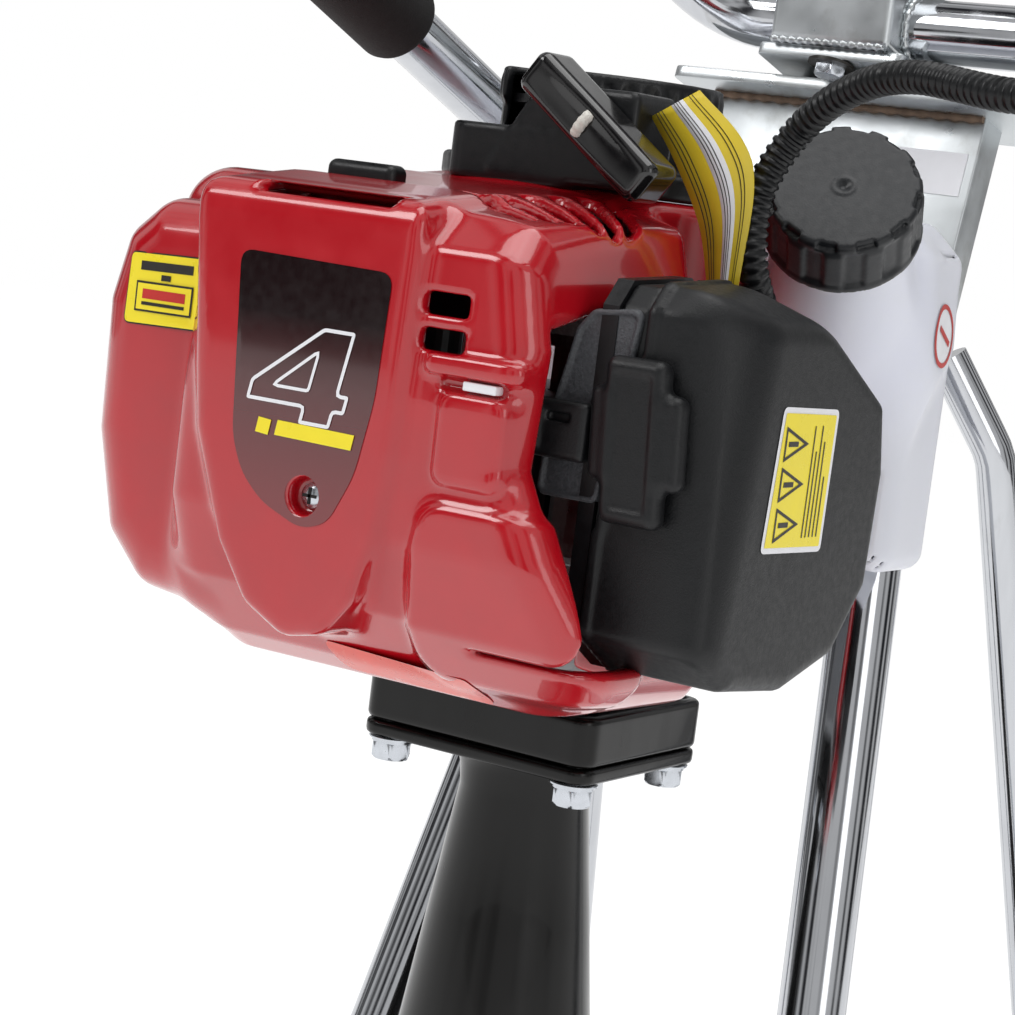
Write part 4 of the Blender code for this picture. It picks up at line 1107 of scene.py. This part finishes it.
def bracket():
    shape = [(-61, 158), (61, 158), (61, 247.5), (-61, 247.5)]
    lean = lambda x, depth, z: (x, TOP_Y + (z - TOP_Z) * LEG_LEAN + depth, z)
    panel = slab("bracket_panel", shape, 1, 0, 3, ZINC, 0.9, 3, lean)
    dress(panel, "frame", "zinc_plate", "bracket")
    for side in (-1, 1):
        strip = [(side * 58.2, 158), (side * 61, 158), (side * 61, 247.5), (side * 58.2, 247.5)]
        fold = slab(f"bracket_fold_{'left' if side < 0 else 'right'}", strip, 1, 1, 18, ZINC, 0.9, 3, lean)
        dress(fold, "frame", "zinc_plate")
    top = [(-74, -16), (78, -16), (78, 34), (-74, 34)]
    head = slab("bracket_head", round_corners(top, 4, 3), 2, -0.5, 4.5, ZINC, 0.7, 2, tilted)
    dress(head, "frame", "zinc_plate")
    shelf = [(-32, -27), (32, -27), (32, 30), (-32, 30)]
    mount = slab("mount_plate", round_corners(shelf, 3, 3), 2, 9, 14, ZINC, 0.7, 2, tilted)
    dress(mount, "frame", "zinc_plate", "handle_plate")
    up = (0, math.sin(LEAN), math.cos(LEAN))
    for side, label in ((-1, "left"), (1, "right")):
        waist = [(0, 4.8), (9, 4.8), (9, 5.4), (8.2, 6.7), (9, 8.1), (9, 8.7), (0, 8.7)]
        body = turned(f"rubber_mount_{label}", waist, tilted(side * 20, 12, 0), up, RUBBER, 48)
        dress(body, "frame", "buffer_rubber", f"buffer_{label}")
    head = hexagon("plate_bolt", tilted(0, -22.5, 8.7), [-c for c in up], 11.5, 0, 6.0, BOLT)
    dress(head, "frame", "zinc_plate", "handle_bolt")
    ring = [(0, 8.6), (9.3, 8.6), (9.3, 7.4), (0, 7.4)]
    dress(turned("plate_washer", ring, tilted(0, -22.5, 0), up, INK, 40), "frame", "zinc_plate")
    foot = [(158, 267.4), (158, 312), (208, 312), (208, 254.2)]
    block = slab("mount_block", foot, 0, -26, 26, ZINC, 3.0, 4)
    dress(block, "frame", "zinc_plate", "handle_block")
    foot_line = [Vector(tilted(x, -2.5, 14.6)) + Vector((0, -26, 7.0)) for x in np.linspace(-25, 25, 60)]
    bead("block_weld", foot_line, 1.5, 0.35, 1.4, ZINC, 10)
    rust = finish_nodes("weld_rust", (120, 100, 84), 0.6, metal=0.6, vary=0.3, grain=200)
    seam = [tilted(x, -1.0, -1.4) for x in np.linspace(-60, 60, 90)]
    bead("bracket_weld", seam, 1.6, 0.4, 1.2, rust, 10)
    label = [(14, 214), (57, 214), (57, 231), (14, 231)]
    note = slab("blank_label", label, 1, -0.35, -0.05, PAPER, 0, 1, lean)
    dress(note, "frame", "zinc_plate")


# ---- conduit, tag and controls ----
def conduit():
    marks = [(62, -53.4, 100), (63, -42, 100), (67, -20, 103), (73, -3, 116), (78, 2, 134), (82, -6, 153)]
    marks += [(83, -27, 168), (82, -37, 184), (81, -35, 206), (91, -32, 227)]
    marks += [(112, -42, 240), (140, -58, 245), (185, -80, 241), (222, -92, 246), (246, -92, 272)]
    marks += [(252, -86, 320), (250, -78, 390), (246, -70, 450), (240, -57, 486)]
    path, at = even(smooth_run(marks, 12), 0.56)
    radii = [4.85 + 0.45 * math.tanh(3 * math.sin(math.tau * s / 3.4)) for s in at]
    hose = sweep("ribbed_conduit", path, radii, CASE_BLACK, 26)
    dress(hose, "frame", "black_plastic", "throttle_conduit")


def tag():
    left = [(45.5, -50, 225), (55, -47, 211), (65, -44, 192), (70, -42, 172)]
    right = [(62, -50, 235), (78, -47, 221), (83, -44, 206), (81, -42, 174)]
    a = np.array(smooth_run(left, 8))
    b = np.array(smooth_run(right, 8))

    def band(name, low, high, material, front, thick):
        points, faces = [], []
        for shift in (front, front + thick):
            for p, q in zip(a, b):
                points += [p + (q - p) * low + (0, shift, 0), p + (q - p) * high + (0, shift, 0)]
        n = len(a)
        for i in range(n - 1):
            for base in (0, 2 * n):
                faces.append((base + 2 * i, base + 2 * i + 1, base + 2 * i + 3, base + 2 * i + 2))
            faces.append((2 * i, 2 * i + 2, 2 * n + 2 * i + 2, 2 * n + 2 * i))
            faces.append((2 * i + 1, 2 * i + 3, 2 * n + 2 * i + 3, 2 * n + 2 * i + 1))
        faces += [(0, 1, 2 * n + 1, 2 * n), (2 * n - 2, 2 * n - 1, 4 * n - 1, 4 * n - 2)]
        return outward(thing(name, points, faces, material))

    dress(band("paper_tag", 0, 1, TAG, 0, 0.5), "frame", "tag_paper", "hang_tag")
    dress(band("tag_strip", 0.42, 0.66, PAPER, -0.1, 0.08), "frame", "tag_paper")
    for i, t in enumerate((0.1, 0.16, 0.22, 0.47, 0.52, 0.57, 0.78, 0.84)):
        dress(band(f"tag_line_{i + 1}", t, t + 0.014, INK, -0.2, 0.06), "frame", "tag_paper")


def controls():
    """The throttle and the stop switch on the right handlebar, in directions taken along its last stretch."""
    way = np.array((0.05526, -0.96701, 0.24866))
    up = np.array((0, 0.24904, 0.96849))
    end = np.array((242, -205, 545))
    across = np.cross(way, up)
    at = end - way * 126
    near_grip = end - way * 150

    def local(p, centre):
        return np.stack([(p - centre) @ across, (p - centre) @ way, (p - centre) @ up], 1)

    def throttle(p):
        q = local(p, at)
        body = drum(q, (0, 0, 0), (0, 1, 0), 19, -14, 14, 2)
        body = join(body, drum(q, (0, 0, 0), (0, 0, 1), 10.5, 8, 26, 1.2), 4)
        body = cut(body, drum(q, (0, 0, 0), (0, 1, 0), 13.0, -40, 40, 0.4), 0.6)
        return cut(body, rounded_box(q, (-30, -30, -0.5), (30, 30, 0.5), 0.1), 0.6)

    def switch(p):
        q = local(p, near_grip)
        body = drum(q, (0, 0, 0), (0, 1, 0), 17.5, -8, 8, 1.6)
        body = join(body, drum(q, (0, 0, 0), (0, 0, 1), 9, 8, 24, 1), 3)
        body = cut(body, drum(q, (0, 0, 0), (0, 1, 0), 13.0, -40, 40, 0.4), 0.6)
        return cut(body, drum(q, (0, 0, 0), (0, 0, 1), 6.4, 17.2, 40, 0.4), 0.6)

    def lever(p):
        q = local(p, at)
        hub = drum(q, (0, 0, 0), (0, 0, 1), 9, 26.3, 30, 0.8)
        arm = bar(q * (1, 1, 2.2), (0, 0, 28.1 * 2.2), (16.4, 40, 28.1 * 2.2), 4.6) / 1.6
        return join(hub, arm, 2)

    def button(p):
        q = local(p, near_grip)
        return drum(q, (0, 0, 0), (0, 0, 1), 5.9, 19.6, 26.5, 1.4)

    for name, field, centre, reach, body, slot, node, mat, step in (
        ("throttle_clamp", throttle, at, 30, "frame", "black_plastic", "throttle_housing", CASE_BLACK, 1.1),
        ("switch_clamp", switch, near_grip, 27, "frame", "black_plastic", "switch_housing", CASE_BLACK, 1.1),
        ("thumb_lever", lever, at, 52, "throttle", "black_plastic", "throttle_lever", SATIN, 1.0),
        ("stop_button", button, near_grip, 28, "stop", "switch_red", "stop_switch", SWITCH, 0.8),
    ):
        dress(skin(name, field, centre - reach, centre + reach, step, mat), body, slot, node)


# ---- parts that keep their CAD shape ----
def inner_parts():
    repaint(STEEL, "base_plate", "bearing_carrier", "lower_bearing", "upper_bearing", "drive_shaft")
    repaint(STEEL, "eccentric_weight", "clutch_drum", "clutch_shoes", "crankshaft", "muffler", "choke_lever")
    repaint(ALLOY, "crankcase", "cylinder", "rocker_cover", "piston", "flywheel", "carburettor")
    repaint(CASE_BLACK, "starter_pulley", "air_cleaner_base", "intake_spacer", "ignition_coil", "spark_plug")
    low, high = (85, -108, 76), (108, -34, 148)
    piece = skin("filter_pad", lambda p: rounded_box(p, low, high, 4.5), low, high, 2.2, FILTER)
    dress(piece, "frame", "filter_foam", "air_filter")


# ---- floor, light and camera ----
def stage():
    size = 6.0
    mesh = bpy.data.meshes.new("floor")
    corners = [(-size, -size, 0), (size, -size, 0), (size, size, 0), (-size, size, 0)]
    mesh.from_pydata(corners, [], [(0, 1, 2, 3)])
    pale = finish_nodes("floor_pale", (150, 150, 150), 0.9, vary=0.004, grain=3)
    shader = pale.node_tree.nodes["Principled BSDF"].inputs
    shader["Emission Color"].default_value = (1, 1, 1, 1)
    shader["Emission Strength"].default_value = 0.86
    mesh.materials.append(pale)
    floor = bpy.data.objects.new("floor", mesh)
    bpy.context.scene.collection.objects.link(floor)


def world():
    """White to the camera, and a studio of soft bright and grey bands to the object."""
    sky = bpy.data.worlds.new("studio")
    bpy.context.scene.world = sky
    sky.use_nodes = True
    nodes, links = sky.node_tree.nodes, sky.node_tree.links
    nodes.clear()
    out = add(nodes, "OutputWorld")
    where = add(nodes, "TexCoord")
    scale = add(nodes, "Mapping", Scale=(1.0, 1.0, 0.22))
    links.new(where.outputs["Generated"], scale.inputs["Vector"])
    noise = add(nodes, "TexNoise", Scale=3.1, Detail=1.5)
    links.new(scale.outputs["Vector"], noise.inputs["Vector"])
    bands = two_colours(nodes, (0.05, 0.05, 0.055, 1), (1, 1, 1, 1), 0.40, 0.56)
    bands.color_ramp.interpolation = "EASE"
    links.new(noise.outputs["Fac"], bands.inputs["Fac"])
    room = add(nodes, "Background", Strength=0.62)
    links.new(bands.outputs["Color"], room.inputs["Color"])
    white = add(nodes, "Background", Color=(1, 1, 1, 1), Strength=1.0)
    path = add(nodes, "LightPath")
    mix = add(nodes, "MixShader")
    links.new(path.outputs["Is Camera Ray"], mix.inputs["Fac"])
    links.new(room.outputs["Background"], mix.inputs[1])
    links.new(white.outputs["Background"], mix.inputs[2])
    links.new(mix.outputs["Shader"], out.inputs["Surface"])


def lamp(name, at, target, size, power, shape_y=None):
    data = bpy.data.lights.new(name, "AREA")
    data.shape = "RECTANGLE"
    data.size = size
    data.size_y = shape_y or size
    data.energy = power
    obj = bpy.data.objects.new(name, data)
    bpy.context.scene.collection.objects.link(obj)
    obj.location = at
    obj.rotation_euler = (Vector(target) - Vector(at)).to_track_quat("-Z", "Y").to_euler()


def lights():
    lamp("key", (-1.3, -1.9, 2.3), (0, 0, 0.45), 1.2, 27)
    lamp("top", (0.2, -0.1, 2.3), (0, 0, 0.4), 1.5, 19)
    lamp("side", (2.4, -1.2, 1.1), (0, 0, 0.45), 0.9, 7, 1.6)


def camera():
    turn, rise, roll = math.radians(32.0), math.radians(6.7), math.radians(7.1)
    away = Vector((math.sin(turn) * math.cos(rise), -math.cos(turn) * math.cos(rise), math.sin(rise)))
    level = (-away).cross(Vector((0, 0, 1))).normalized()
    upright = level.cross(-away)
    right = level * math.cos(roll) + upright * math.sin(roll)
    above = -level * math.sin(roll) + upright * math.cos(roll)
    at = (Vector((-21.8, 0.0, 83.2 + FLANGE_Z)) + away * 1000.0) / UNIT
    data = bpy.data.cameras.new("camera")
    data.sensor_width = 36.0
    data.lens = 98.955665
    obj = bpy.data.objects.new("camera", data)
    bpy.context.scene.collection.objects.link(obj)
    rows = [[right[i], above[i], away[i], at[i]] for i in range(3)] + [[0, 0, 0, 1]]
    obj.matrix_world = Matrix(rows)
    bpy.context.scene.camera = obj
    bpy.context.scene.view_settings.view_transform = "Standard"


camera()
world()
lights()
stage()
engine_cover()
cover_fittings()
starter()
tank_and_cap()
air_cleaner()
drive_column()
flange_bolts()
legs()
handlebars()
bracket()
conduit()
tag()
controls()
inner_parts()
